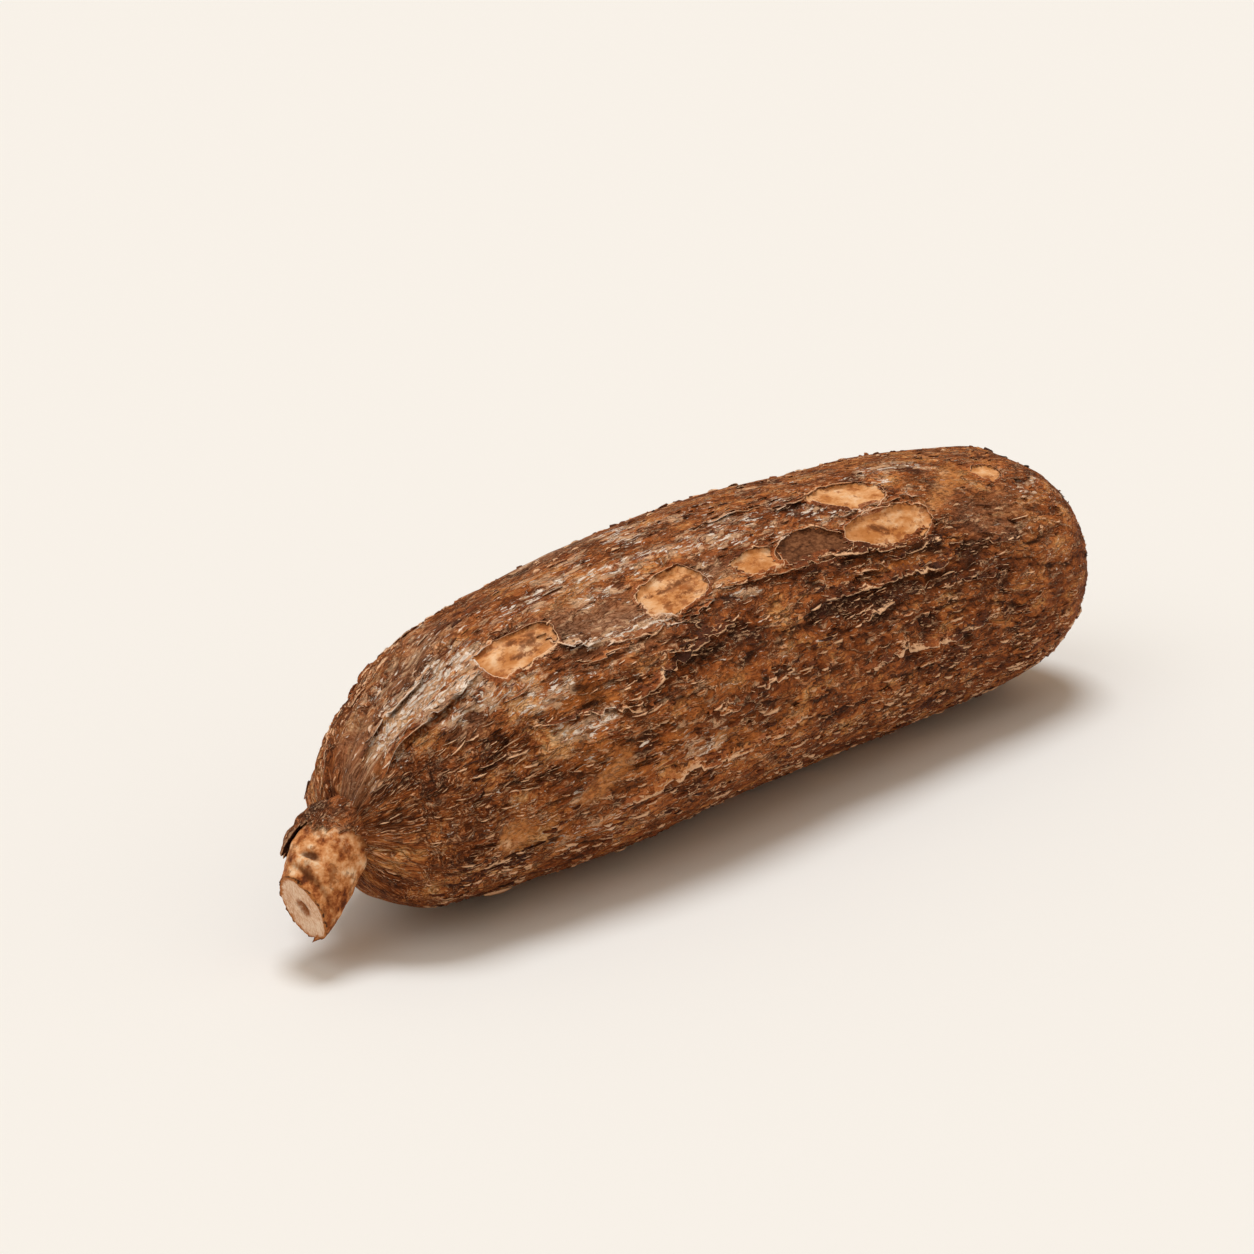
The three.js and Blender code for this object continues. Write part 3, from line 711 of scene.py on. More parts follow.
    def wash(self, x: Array, angle: Array, tint: Tint) -> Array:
        """Return the strength of one kind of colour wash, from 0 to 1."""
        total = np.zeros(len(x))
        for stroke in WASHES[tint]:
            path = self.path_of(stroke.path, step=2.0)
            picked, distance, _, _ = self.measure(x, angle, path, 3.0 * stroke.width)
            total[picked] = np.maximum(total[picked], stroke.strength * bell(distance, stroke.width))
        return total

    def looks(self, x: Array, angle: Array) -> dict[str, Array]:
        """Return what every bark finish reads at some places: the place itself and the washes there.

        Dust also lies in loose clouds, and a little all over the top.
        """
        looks = {tint.value: self.wash(x, angle, tint) for tint in Tint}
        places = self.unrolled(x, angle)
        loose = smooth_step(layered(places / self.dust_size, 83), *self.dust_step)
        turn = np.clip(np.abs(turn_between(angle, self.dust_turn)) * 1.3, TOP, UNDERSIDE)
        top = 0.5 + 0.5 * np.cos(np.radians(turn))
        dust = np.maximum(looks["dust"], self.cloud_dust * loose * top + self.top_dust * top)
        return looks | {"bark": places * CM_PER_MM, "dust": np.clip(dust, 0.0, 1.0)}

    def fibrous(self, x: Array, angle: Array) -> Array:
        """Return how much the bark is drawn out into strands, from 0 to 1: most of all at the neck."""
        return np.maximum(smooth_step(-x, 62.0, 104.0), 0.7 * bell(turn_between(angle, -12.0), 40.0))

    def roughness(self, x: Array, angle: Array) -> Array:
        """Return how scaly the bark is, from 0 on smooth plates to 1 on the near side."""
        places = self.unrolled(x, angle)
        side = np.abs(turn_between(angle, TOP))
        rough = 0.30 + 0.7 * smooth_step(side, 20.0, 56.0) - 0.45 * smooth_step(side, 108.0, 140.0)
        rough = rough + 0.5 * (layered(places / (24.0, 12.0, 12.0), 61) - 0.5)
        ends = np.maximum(smooth_step(x, 96.0, 132.0), smooth_step(-x, 104.0, 124.0))
        covered = np.maximum(0.8 * self.wash(x, angle, Tint.PLATE), 0.5 * self.wash(x, angle, Tint.DUST))
        return np.clip(rough * (1.0 - 0.45 * ends) * (1.0 - covered), 0.05, 1.0)

    def outward(self, x: Array, angle: Array) -> tuple[Array, Array]:
        """Return unit vectors out of the bark and along the root."""
        length = self.form.point(x + 0.3, angle) - self.form.point(x - 0.3, angle)
        round_it = self.form.point(x, angle + 1.0) - self.form.point(x, angle - 1.0)
        normal = np.cross(round_it, length)
        normal /= np.linalg.norm(normal, axis=-1, keepdims=True) + 1e-12
        length /= np.linalg.norm(length, axis=-1, keepdims=True) + 1e-12
        return normal, length


def in_scene(name: str, data: bpy.types.ID) -> bpy.types.Object:
    """Return a new object in the scene, at the origin."""
    thing = bpy.data.objects.new(name, data)
    bpy.context.scene.collection.objects.link(thing)
    return thing


def new_piece(name: str, points: Array, faces: Sequence[Sequence[int]], looks: dict[str, Array],
              material: bpy.types.Material | None = None) -> bpy.types.Object:
    """Make an object at the origin from points in mm.

    Args:
        name: the piece's name.
        points: its vertices, in mm.
        faces: vertex numbers of each face.
        looks: what its finish reads at each vertex, one number or three.
        material: its finish.

    Returns:
        The new object, shaded smooth.
    """
    mesh = bpy.data.meshes.new(name)
    mesh.from_pydata((np.asarray(points) * MM).tolist(), [], [list(map(int, face)) for face in faces])
    for look, values in looks.items():
        values = np.asarray(values, np.float32)
        kind = "FLOAT" if values.ndim == 1 else "FLOAT_VECTOR"
        attribute = mesh.attributes.new(look, kind, "POINT")
        attribute.data.foreach_set("value" if values.ndim == 1 else "vector", values.ravel())
    mesh.polygons.foreach_set("use_smooth", np.ones(len(mesh.polygons), bool))
    if material:
        mesh.materials.append(material)
    mesh.update()
    return in_scene(name, mesh)


def ring_faces(rows: int, columns: int, looped: bool = False) -> list[Sequence[int]]:
    """Return the faces between closed rings of points, and from the last ring to the first if looped."""
    here = np.arange(rows * columns).reshape(rows, columns)
    beyond = np.roll(here, -1, axis=1)
    quads = np.stack([here, beyond, np.roll(beyond, -1, axis=0), np.roll(here, -1, axis=0)], axis=-1)
    return quads[:rows if looped else rows - 1].reshape(-1, 4).tolist()


def closed_rings(rows: int, columns: int, start: int, end: int) -> list[Sequence[int]]:
    """Return the faces between closed rings of points, with a fan to a point at each end."""
    faces, foot = ring_faces(rows, columns), (rows - 1) * columns
    for column in range(columns):
        beyond = (column + 1) % columns
        faces += [(start, beyond, column), (end, foot + column, foot + beyond)]
    return faces


def on_rings(radius: Array | float, angle: Array, along: Array | float = 0.0) -> Array:
    """Return points on rings round the last axis, for patterns without a seam."""
    radians = np.radians(angle)
    places = np.broadcast_arrays(radius * np.cos(radians), radius * np.sin(radians), along)
    return np.stack(places, axis=-1)


def count_triangles(piece: bpy.types.Object) -> int:
    """Return how many triangles a piece has."""
    return sum(len(polygon.vertices) - 2 for polygon in piece.data.polygons)


def paint(code: str) -> tuple[float, float, float, float]:
    """Return the linear colour of an sRGB code such as #6e3f22."""
    parts = [int(code[place:place + 2], 16) / 255.0 for place in (1, 3, 5)]
    linear = [part / 12.92 if part <= 0.04045 else ((part + 0.055) / 1.055) ** 2.4 for part in parts]
    return (*linear, 1.0)


class Nodes:
    """A node tree, with short calls for what finishes and shards share."""

    tree: bpy.types.NodeTree

    def plug(self, target: Socket, value: object) -> None:
        """Link a socket to another one, or set its value."""
        if isinstance(value, bpy.types.NodeSocket):
            self.tree.links.new(value, target)
        else:
            target.default_value = value

    def add(self, kind: str, plugs: dict | None = None, **settings: object) -> bpy.types.Node:
        """Add a node, set its options, and link or set its inputs."""
        node = self.tree.nodes.new(kind)
        for name, value in settings.items():
            setattr(node, name, value)
        for socket, value in (plugs or {}).items():
            self.plug(node.inputs[socket], value)
        return node

    def math(self, operation: str, *numbers: object) -> Socket:
        """Return the result of a sum of one to three numbers."""
        return self.add("ShaderNodeMath", dict(enumerate(numbers)), operation=operation).outputs[0]


class NodeSheet(Nodes):
    """A finish's node tree."""

    def __init__(self, name: str) -> None:
        """Start an empty finish."""
        self.material = bpy.data.materials.new(name)
        self.material.use_nodes = True
        self.tree = self.material.node_tree
        self.tree.nodes.clear()

    def number(self, name: str) -> Socket:
        """Return one of the mesh's own numbers."""
        return self.add("ShaderNodeAttribute", attribute_name=name).outputs["Fac"]

    def place(self, name: str) -> Socket:
        """Return one of the mesh's own places."""
        return self.add("ShaderNodeAttribute", attribute_name=name).outputs["Vector"]

    def object_place(self) -> Socket:
        """Return the place on the object, in centimetres."""
        return self.vector("MULTIPLY", self.add("ShaderNodeTexCoord").outputs["Object"], (CM_PER_M,) * 3)

    def total(self, *terms: tuple[object, float], base: float = 0.0) -> Socket:
        """Return a base plus some numbers, each with its own weight."""
        result: object = base
        for value, weight in terms:
            result = self.math("MULTIPLY_ADD", value, weight, result)
        return result

    def product(self, *values: object) -> Socket:
        """Return some numbers multiplied together."""
        result = values[0]
        for value in values[1:]:
            result = self.math("MULTIPLY", result, value)
        return result

    def inverse(self, value: Socket, weight: float = 1.0) -> Socket:
        """Return one less weight times a number."""
        return self.math("MULTIPLY_ADD", value, -weight, 1.0)

    def vector(self, operation: str, first: object, second: object) -> Socket:
        """Return the result of a sum of two places."""
        return self.add("ShaderNodeVectorMath", {0: first, 1: second}, operation=operation).outputs[0]

    def texture(self, place: Socket, scale: Scale, detail: float, roughness: float) -> bpy.types.Node:
        """Return a node of soft noise over a place scaled along each axis."""
        scaled = self.vector("MULTIPLY", place, scale)
        return self.add("ShaderNodeTexNoise", {"Vector": scaled, "Scale": 1.0, "Detail": detail,
                                               "Roughness": roughness}, noise_dimensions="3D")

    def noise(self, place: Socket, scale: Scale, detail: float = 3.0, roughness: float = 0.55) -> Socket:
        """Return soft noise about 0.5."""
        return self.texture(place, scale, detail, roughness).outputs[0]

    def shifted(self, place: Socket, scale: Scale, amount: Scale) -> Socket:
        """Return a place moved about by noise, by up to half of amount."""
        noise = self.texture(place, scale, 2.0, 0.5).outputs[1]
        centred = self.vector("SUBTRACT", noise, (0.5, 0.5, 0.5))
        return self.vector("ADD", place, self.vector("MULTIPLY", centred, amount))

    def step(self, value: Socket, low: float, high: float, start: float = 0.0, end: float = 1.0) -> Socket:
        """Return a soft change from start at low to end at high."""
        plugs = dict(enumerate((value, low, high, start, end)))
        return self.add("ShaderNodeMapRange", plugs, interpolation_type="SMOOTHSTEP").outputs[0]

    def ramp(self, value: Socket, stops: Sequence[tuple[float, str]]) -> Socket:
        """Return the colour at a number on a scale of colours."""
        node = self.add("ShaderNodeValToRGB", {0: value})
        elements = node.color_ramp.elements
        while len(elements) < len(stops):
            elements.new(0.5)
        for element, (place, code) in zip(elements, stops):
            element.position = place
            element.color = paint(code)
        return node.outputs[0]

    def mix(self, share: object, *colours: object) -> Socket:
        """Return a colour that goes from the first to the second with share."""
        first, second = (paint(colour) if isinstance(colour, str) else colour for colour in colours)
        return self.add("ShaderNodeMix", {0: share, 6: first, 7: second}, data_type="RGBA").outputs[2]

    def coats(self, colour: object, *coats: tuple[object, object]) -> Socket:
        """Return a colour with more colours laid over it, each by its own share."""
        for share, coat in coats:
            colour = self.mix(share, colour, coat)
        return colour

    def mix_numbers(self, share: object, first: object, second: object) -> Socket:
        """Return a number that goes from first to second with share."""
        return self.add("ShaderNodeMix", {0: share, 2: first, 3: second}, data_type="FLOAT").outputs[0]

    def finish(self, colour: object, roughness: object, height: Socket, depth: float,
               specular: float = 0.12) -> bpy.types.Material:
        """Join colour, roughness and bump to the shader.

        Args:
            colour: base colour.
            roughness: one number, or a socket.
            height: the bump's height.
            depth: how deep one unit of height is, in metres.
            specular: strength of the shine.

        Returns:
            The finished material.
        """
        bump = self.add("ShaderNodeBump", {"Distance": depth, "Strength": 1.0, "Height": height})
        shader = self.add("ShaderNodeBsdfPrincipled", {
            "Base Color": colour, "Roughness": roughness, "Normal": bump.outputs[0],
            "Specular IOR Level": specular,
        })
        self.add("ShaderNodeOutputMaterial", {"Surface": shader.outputs[0]})
        return self.material


@dataclass(frozen=True)
class BarkFinish:
    """Rough brown bark: dark scales, pale torn edges partly painted as highlights, painted shade in hollows,
    orange and dusty places, peeled patches.

    Each of the `layers` says how fine its flakes are, how much of it lies flat and how deep it is.
    """

    browns: Sequence[tuple[float, str]] = (
        (0.16, "#421d0a"), (0.35, "#743a18"), (0.49, "#9f5526"), (0.61, "#c0703a"), (0.75, "#dd9453"),
        (0.91, "#f3c08a"),
    )
    plate: str = "#7f563c"
    plate_light: str = "#b0866a"
    warm: str = "#bd6e2c"
    # Dark brown, also the colour of painted shade in hollows, beneath flakes and on undersides.
    dark: str = "#331707"
    # Pale torn edges, partly painted highlight.
    sliver_and_highlight: str = "#ffcca0"
    dust: str = "#e6b890"
    chalk: str = "#ffeede"
    peeled: Sequence[tuple[float, str]] = (
        (0.30, "#c27c42"), (0.44, "#dc9a61"), (0.60, "#ecb37e"), (0.80, "#f4caa0"),
    )
    peeled_dark: Sequence[tuple[float, str]] = ((0.35, "#452510"), (0.50, "#6c4025"), (0.66, "#8e5d3c"))
    peeled_warm: str = "#c88145"
    stain: str = "#9c5526"
    bruised: str = "#5c3216"
    layers: Sequence[tuple[Scale, float, float]] = (
        ((0.8, 2.4, 2.4), 0.40, 1.0), ((1.9, 5.6, 5.6), 0.45, 0.8), ((4.6, 12.0, 12.0), 0.50, 0.55),
    )
    bump_depth: float = 0.00062

    def body(self, sheet: NodeSheet, places: Socket, fall: Socket) -> tuple[Socket, Socket]:
        """Lay out the scaly bark.

        Args:
            sheet: the node tree to work in.
            places: the unrolled place on the bark, in cm.
            fall: the way down the side.

        Returns:
            The bark's colour and its bump height.
        """
        dust, warm, dark, plate, drawn = map(sheet.number, ("dust", "warm", "dark", "plate", "fibre"))
        settled = sheet.math("MAXIMUM", plate, sheet.product(dust, 0.7))
        rugged = sheet.inverse(settled, 0.85)
        bent = sheet.shifted(places, (1.3, 2.4, 2.4), (0.7, 0.36, 0.36))
        torn = sheet.shifted(bent, (7.0, 12.0, 12.0), (0.08, 0.055, 0.055))
        region = sheet.noise(bent, (0.62, 1.35, 1.35), 5.0, 0.64)
        grain = sheet.noise(torn, (6.0, 26.0, 26.0), 3.0, 0.62)
        crumple = sheet.noise(torn, (5.0, 10.0, 10.0), 5.0, 0.66)
        strands = sheet.noise(bent, (1.9, 26.0, 26.0), 3.0, 0.6)
        powder = sheet.noise(torn, (1.7, 5.6, 5.6), 5.0, 0.7)
        strokes = sheet.noise(torn, (1.9, 12.0, 12.0), 4.0, 0.62)
        fibre = sheet.product(drawn, sheet.math("SUBTRACT", strands, 0.5))
        tone = sheet.total((region, 1.40), (crumple, 0.60), (grain, 0.46), (sheet.number("patina"), 0.28),
                           (fibre, 0.8), (drawn, 0.03), (warm, 0.08), (dark, -0.18), base=-0.865)
        warmed = sheet.product(warm, sheet.step(sheet.noise(bent, (1.0, 1.9, 1.9)), 0.34, 0.54), 0.65)
        smooth = sheet.ramp(sheet.total((grain, 0.6), (crumple, 0.6), (region, 0.4), base=-0.3),
                            ((0.34, self.dark), (0.46, self.plate), (0.62, self.plate_light)))
        cover = sheet.total((dust, 0.42), (powder, 2.2), base=-0.62)
        # Painted shade in the grooves between strands and in the troughs of the crumpled bark.
        strand_shade = sheet.product(drawn, sheet.step(strands, 0.35, 0.42, 0.65, 0.0))
        shade = sheet.math("MAXIMUM", sheet.step(crumple, 0.30, 0.42, 0.35, 0.0), strand_shade)
        # Pale strand crests and torn flake edges, partly painted highlight.
        lips = sheet.product(drawn, sheet.step(strands, 0.58, 0.64))
        glint = sheet.step(sheet.noise(torn, (1.1, 2.0, 2.0), 4.0, 0.6), 0.44, 0.56, 0.22, 1.0)
        height = sheet.total((crumple, 1.1), (grain, 0.4), (fibre, 2.0))
        for scale, gate, depth in self.layers:
            step, edge_highlight, under = self.layer(sheet, torn, fall, scale, gate)
            shade = sheet.math("MAXIMUM", shade, under)
            lips = sheet.math("MAXIMUM", lips, sheet.product(edge_highlight, sheet.inverse(drawn, 0.5)))
            height = sheet.math("MULTIPLY_ADD", step, depth, height)
        # Colour of the pale edges: pale torn bark and painted highlight, chalky where dusty.
        pale = sheet.mix(sheet.step(dust, 0.3, 0.9), self.sliver_and_highlight, self.chalk)
        chalk = sheet.total((dust, 0.45), (strokes, 2.3), base=-0.75)
        # Painted shade in hollows of the relief and in the band just below lifted edges.
        hollow_shade = sheet.math("MAXIMUM", sheet.step(sheet.number("cave"), 0.2, 0.95), sheet.number("foot"))
        colour = sheet.coats(
            sheet.ramp(tone, self.browns),
            (warmed, self.warm),
            (sheet.product(plate, 0.85), smooth),
            (sheet.step(cover, 0.68, 0.90, 0.0, 0.78), self.dust),
            (sheet.product(shade, rugged, 0.85), self.dark),
            (sheet.product(lips, rugged, glint), pale),
            (sheet.step(chalk, 0.83, 0.95, 0.0, 0.9), self.chalk),
            (sheet.product(hollow_shade, 0.84), self.dark),
        )
        return colour, sheet.product(height, sheet.inverse(settled, 0.6))

    def layer(self, sheet: NodeSheet, places: Socket, fall: Socket, scale: Scale,
              gate: float) -> tuple[Socket, Socket, Socket]:
        """Lay out one layer of thin flakes, with a painted highlight along their downward free edges.

        Args:
            sheet: the node tree to work in.
            places: the unrolled place on the bark, in cm.
            fall: the way down the side.
            scale: how fine the flakes are, along each axis.
            gate: how much of the layer lies flat, from 0 to 1.

        Returns:
            The flakes' height, the painted highlight along their edges and the painted shade beside them.
        """
        noise = sheet.noise(places, scale, 4.0, 0.6)
        below = sheet.vector("ADD", places, sheet.vector("MULTIPLY", fall, (0.35 / scale[1],) * 3))
        drop = sheet.math("SUBTRACT", noise, sheet.noise(below, scale, 1.0, 0.6))
        # Only steps that fall down the side get the painted highlight.
        faces_down = sheet.step(drop, 0.0, 0.06, 0.08, 1.0)
        coarse = sheet.noise(places, tuple(0.45 * part for part in scale), 2.0)
        patchy = sheet.step(coarse, gate, gate + 0.10)
        step = sheet.step(noise, 0.49, 0.51)
        edge_highlight = sheet.product(sheet.step(noise, 0.495, 0.508), sheet.step(noise, 0.515, 0.535, 1.0, 0.0),
                               faces_down, patchy)
        # Painted shade just beside each step.
        under = sheet.product(sheet.step(noise, 0.44, 0.485), sheet.step(noise, 0.490, 0.50, 1.0, 0.0),
                              sheet.math("MULTIPLY_ADD", patchy, 0.6, 0.3))
        return sheet.product(step, sheet.math("MULTIPLY_ADD", patchy, 0.7, 0.3)), edge_highlight, under

    def skin(self) -> bpy.types.Material:
        """Return the finish of the bark itself, with its peeled patches."""
        sheet = NodeSheet("bark_skin")
        places, tone, dark = sheet.place("bark"), sheet.number("tone"), sheet.number("dark")
        bark, relief = self.body(sheet, places, sheet.place("fall"))
        ragged = sheet.noise(places, (4.5, 5.5, 5.5), 5.0, 0.62)
        spread = sheet.noise(places, (1.5, 2.6, 2.6), 4.0, 0.6)
        fine = sheet.noise(places, (6.0, 13.0, 13.0), 3.0, 0.6)
        spots = sheet.noise(places, (2.6, 4.2, 4.2), 6.0, 0.70)
        edge = sheet.total((sheet.number("peel"), 1.0), (ragged, 2.2), base=-1.1)
        faint = sheet.product(sheet.step(tone, 0.64, 0.70, 1.0, 0.0), sheet.step(tone, 0.1, 0.3))
        soft = sheet.product(sheet.step(edge, -1.6, 0.3, 0.80, 0.0), sheet.step(fine, 0.40, 0.54, 0.35, 1.0))
        peeled = sheet.mix_numbers(faint, sheet.step(edge, -0.09, 0.05, 1.0, 0.0), soft)
        fresh = sheet.step(sheet.total((tone, 1.0), (spread, 0.8), base=-0.4), 0.5, 0.9)
        stained = sheet.step(sheet.total((spots, 1.0), (dark, 0.17)), 0.52, 0.63, 0.0, 0.72)
        bruise = sheet.product(sheet.step(dark, 0.35, 0.8), sheet.step(spots, 0.44, 0.55), 0.7)
        warm = sheet.coats(
            self.peeled_warm,
            (fresh, sheet.ramp(sheet.total((spread, 1.35), (fine, 0.45), base=-0.40), self.peeled)),
            (stained, self.stain),
            (bruise, self.bruised),
        )
        deep = sheet.ramp(sheet.total((fine, 0.9), (spread, 0.5), base=-0.2), self.peeled_dark)
        # Painted shadow of the overhanging bark, just inside the border of each crisp patch.
        line = sheet.product(sheet.step(edge, -0.42, -0.06), peeled, sheet.inverse(faint), 0.5)
        colour = sheet.coats(
            bark,
            (peeled, sheet.mix(sheet.step(tone, 0.05, 0.3), deep, warm)),
            (line, self.dark),
        )
        flat = sheet.total((fine, 0.35), (spread, 0.6))
        height = sheet.math("ADD", sheet.product(relief, sheet.inverse(peeled)), sheet.product(flat, peeled))
        return sheet.finish(colour, sheet.step(peeled, 0.0, 1.0, 0.80, 0.62), height, self.bump_depth)

    def collar(self) -> bpy.types.Material:
        """Return the finish of the torn sleeve of bark round the stub."""
        sheet = NodeSheet("collar_bark")
        places = sheet.place("bark")
        bark, height = self.body(sheet, places, sheet.place("fall"))
        rim = sheet.total((sheet.number("rim"), 1.0), (sheet.noise(places, (9.0, 9.0, 9.0)), 1.0), base=-0.5)
        # Pale torn rim, partly painted highlight, and painted shade on the sleeve's inner faces.
        colour = sheet.coats(
            bark,
            (sheet.step(rim, 0.62, 0.95, 0.0, 0.6), self.sliver_and_highlight),
            (sheet.step(sheet.number("under"), 0.3, 0.9, 0.0, 0.9), self.dark),
        )
        return sheet.finish(colour, 0.8, height, self.bump_depth)

    def torn(self, name: str) -> bpy.types.Material:
        """Return a finish of torn bark, with pale edges that are partly painted highlight and painted shade
        on the undersides.
        """
        sheet = NodeSheet(name)
        dust, warm, dark, plate, lot = map(sheet.number, ("dust", "warm", "dark", "plate", "lot"))
        region = sheet.noise(sheet.place("bark"), (0.42, 0.95, 0.95), 4.0, 0.62)
        grain = sheet.noise(sheet.object_place(), (9.0, 22.0, 22.0), 3.0, 0.6)
        tone = sheet.total((region, 1.2), (grain, 0.6), (lot, 0.26), (sheet.number("patina"), 0.2),
                           (warm, 0.08), (dark, -0.18), base=-0.73)
        cover = sheet.total((dust, 0.5), (grain, 0.5), (lot, 0.25))
        # Pale torn rim, partly painted highlight; the undersides take painted shade.
        rim = sheet.total((sheet.number("rim"), 0.7), (grain, 0.8), (lot, 1.0), base=-1.02)
        pale = sheet.mix(sheet.step(dust, 0.2, 0.9), self.sliver_and_highlight, self.chalk)
        colour = sheet.coats(
            sheet.ramp(tone, self.browns),
            (sheet.product(plate, 0.6), self.plate),
            (sheet.step(cover, 0.62, 0.92, 0.0, 0.75), self.dust),
            (sheet.step(rim, 0.42, 0.60, 0.0, 0.97), pale),
            (sheet.step(sheet.number("under"), 0.3, 0.9, 0.0, 0.85), self.dark),
        )
        return sheet.finish(colour, 0.62, grain, self.bump_depth, 0.22)


@dataclass(frozen=True)
class StubFinish:
    """Smooth tan stem with brown blotches, painted highlights on its top, painted shade behind the rim and
    at its base, and its pinkish cut face with bark ring and brown pith.
    """

    stem: Sequence[tuple[float, str]] = (
        (0.24, "#5e2d14"), (0.38, "#9d5628"), (0.50, "#c9824b"), (0.62, "#e3a571"), (0.78, "#f5cfa8"),
    )
    blotch: str = "#7c451f"
    # Colour of the knot, also used for painted shade.
    knot: str = "#4b2810"
    # Colour of the painted highlight on the stub's top.
    pale: str = "#ecd0ad"
    wood: Sequence[tuple[float, str]] = (
        (0.28, "#a8744f"), (0.44, "#cf9f7c"), (0.56, "#e4bf9f"), (0.74, "#f3dcc4"),
    )
    ring: str = "#b06d38"
    pith: str = "#8f5226"
    soil: str = "#3c1f0e"
    bump_depth: float = 0.0004

    def build(self) -> bpy.types.Material:
        """Return the finish of the stem stub."""
        sheet = NodeSheet("stem_stub")
        here, pale = sheet.object_place(), sheet.number("pale")
        spread = sheet.noise(here, (2.4, 2.4, 2.4), 4.0, 0.60)
        fine = sheet.noise(here, (9.0, 9.0, 9.0), 4.0, 0.62)
        streak = sheet.noise(here, (22.0, 22.0, 7.0), 4.0, 0.65)
        wander = sheet.noise(here, (6.0, 6.0, 6.0), 4.0, 0.62)
        blotch = sheet.step(sheet.noise(here, (2.6, 2.6, 2.6), 6.0, 0.66), 0.54, 0.60)
        rho = sheet.total((sheet.number("rho"), 1.0), (wander, 0.34), base=-0.17)
        wood = sheet.coats(
            sheet.ramp(sheet.total((streak, 0.8), (spread, 0.4), base=-0.06), self.wood),
            (sheet.step(rho, 0.84, 0.94), self.ring),
            (sheet.step(rho, 0.97, 1.03), self.soil),
            (sheet.step(rho, 0.16, 0.36, 0.95, 0.0), self.pith),
            (sheet.step(rho, 0.02, 0.16, 0.7, 0.0), self.soil),
        )
        # The pale mark lightens the stem and lays pale specks on it: painted highlight on the stub's top.
        colour = sheet.coats(
            sheet.ramp(sheet.total((spread, 1.5), (fine, 0.5), (pale, 0.16), base=-0.53), self.stem),
            (sheet.product(blotch, 0.55), self.blotch),
            (sheet.product(pale, sheet.step(fine, 0.42, 0.6), 0.7), self.pale),
            # The knot colour paints the real knot and also painted shade behind the rim and at the stub's
            # base.
            (sheet.product(sheet.number("shade"), 0.85), self.knot),
            (sheet.number("face"), wood),
        )
        height = sheet.total((fine, 0.9), (spread, 0.8), (streak, 0.4))
        return sheet.finish(colour, 0.66, height, self.bump_depth)


@dataclass(frozen=True)
class FloorFinish:
    """Plain pale paper."""

    colour: str = "#efeeed"

    def build(self) -> bpy.types.Material:
        """Return the finish of the floor."""
        sheet = NodeSheet("pale_floor")
        tooth = sheet.noise(sheet.object_place(), (8.0, 8.0, 8.0), 2.0)
        return sheet.finish(paint(self.colour), 0.9, tooth, 0.00001, 0.0)


@dataclass
class BarkSkin:
    """The bark all over the body, closed at both ends."""

    surface: BarkSurface
    columns: int = 320
    rows: int = 303
    # Reach and depth for measuring the hollows that take painted shade.
    hollow_reach: tuple[int, int] = (4, 5)
    hollow_depth: float = 0.45

    def lengths(self) -> Array:
        """Return the rows' lengths, evenly spaced along the bark."""
        runs = np.linspace(0.0, self.surface.run[-1], self.rows + 2)[1:-1]
        return np.interp(runs, self.surface.run, self.surface.fine_x)

    def hollows(self, height: Array) -> Array:
        """Return how far each place lies below the bark round it, from -1 to 1."""
        rows, columns = self.hollow_reach
        padded = np.pad(height, ((rows, rows), (0, 0)), mode="edge")
        along = sum(padded[shift:shift + len(height)] for shift in range(2 * rows + 1)) / (2 * rows + 1)
        across = [np.roll(along, shift, axis=1) for shift in range(-columns, columns + 1)]
        mean = sum(across) / len(across)
        return np.clip((mean - height) / self.hollow_depth, -1.0, 1.0)

    def build(self, finish: BarkFinish) -> bpy.types.Object:
        """Return the skin as one closed piece."""
        surface, form = self.surface, self.surface.form
        x, angle = np.meshgrid(self.lengths(), np.arange(self.columns) * 360.0 / self.columns, indexing="ij")
        x, angle = x.ravel(), angle.ravel()
        bark = surface.read(x, angle)
        points = form.point(x, angle, bark.height)
        ends = np.array([form.neck_x, form.tip_x])
        points = np.concatenate([points, form.point(ends, np.zeros(2))])
        faces = closed_rings(self.rows, self.columns, len(x), len(x) + 1)
        # Painted shade in the skin's hollows: the deeper a place lies below the bark round it, the darker.
        hollow_shade = self.hollows(bark.relief.reshape(self.rows, self.columns)).ravel()
        x, angle = np.append(x, ends), np.append(angle, [TOP, TOP])
        looks = surface.looks(x, angle) | {"fall": surface.fall(angle), "fibre": surface.fibrous(x, angle)}
        for look, values, end in (("peel", bark.peel, surface.peel_reach), ("tone", bark.tone, 0.0),
                                  ("foot", bark.foot, 0.0), ("cave", hollow_shade, 0.0),
                                  ("patina", bark.patina, 0.5)):
            looks[look] = np.append(values, [end, end])
        return new_piece("bark_skin", points, outward(points, faces), looks, finish.skin())


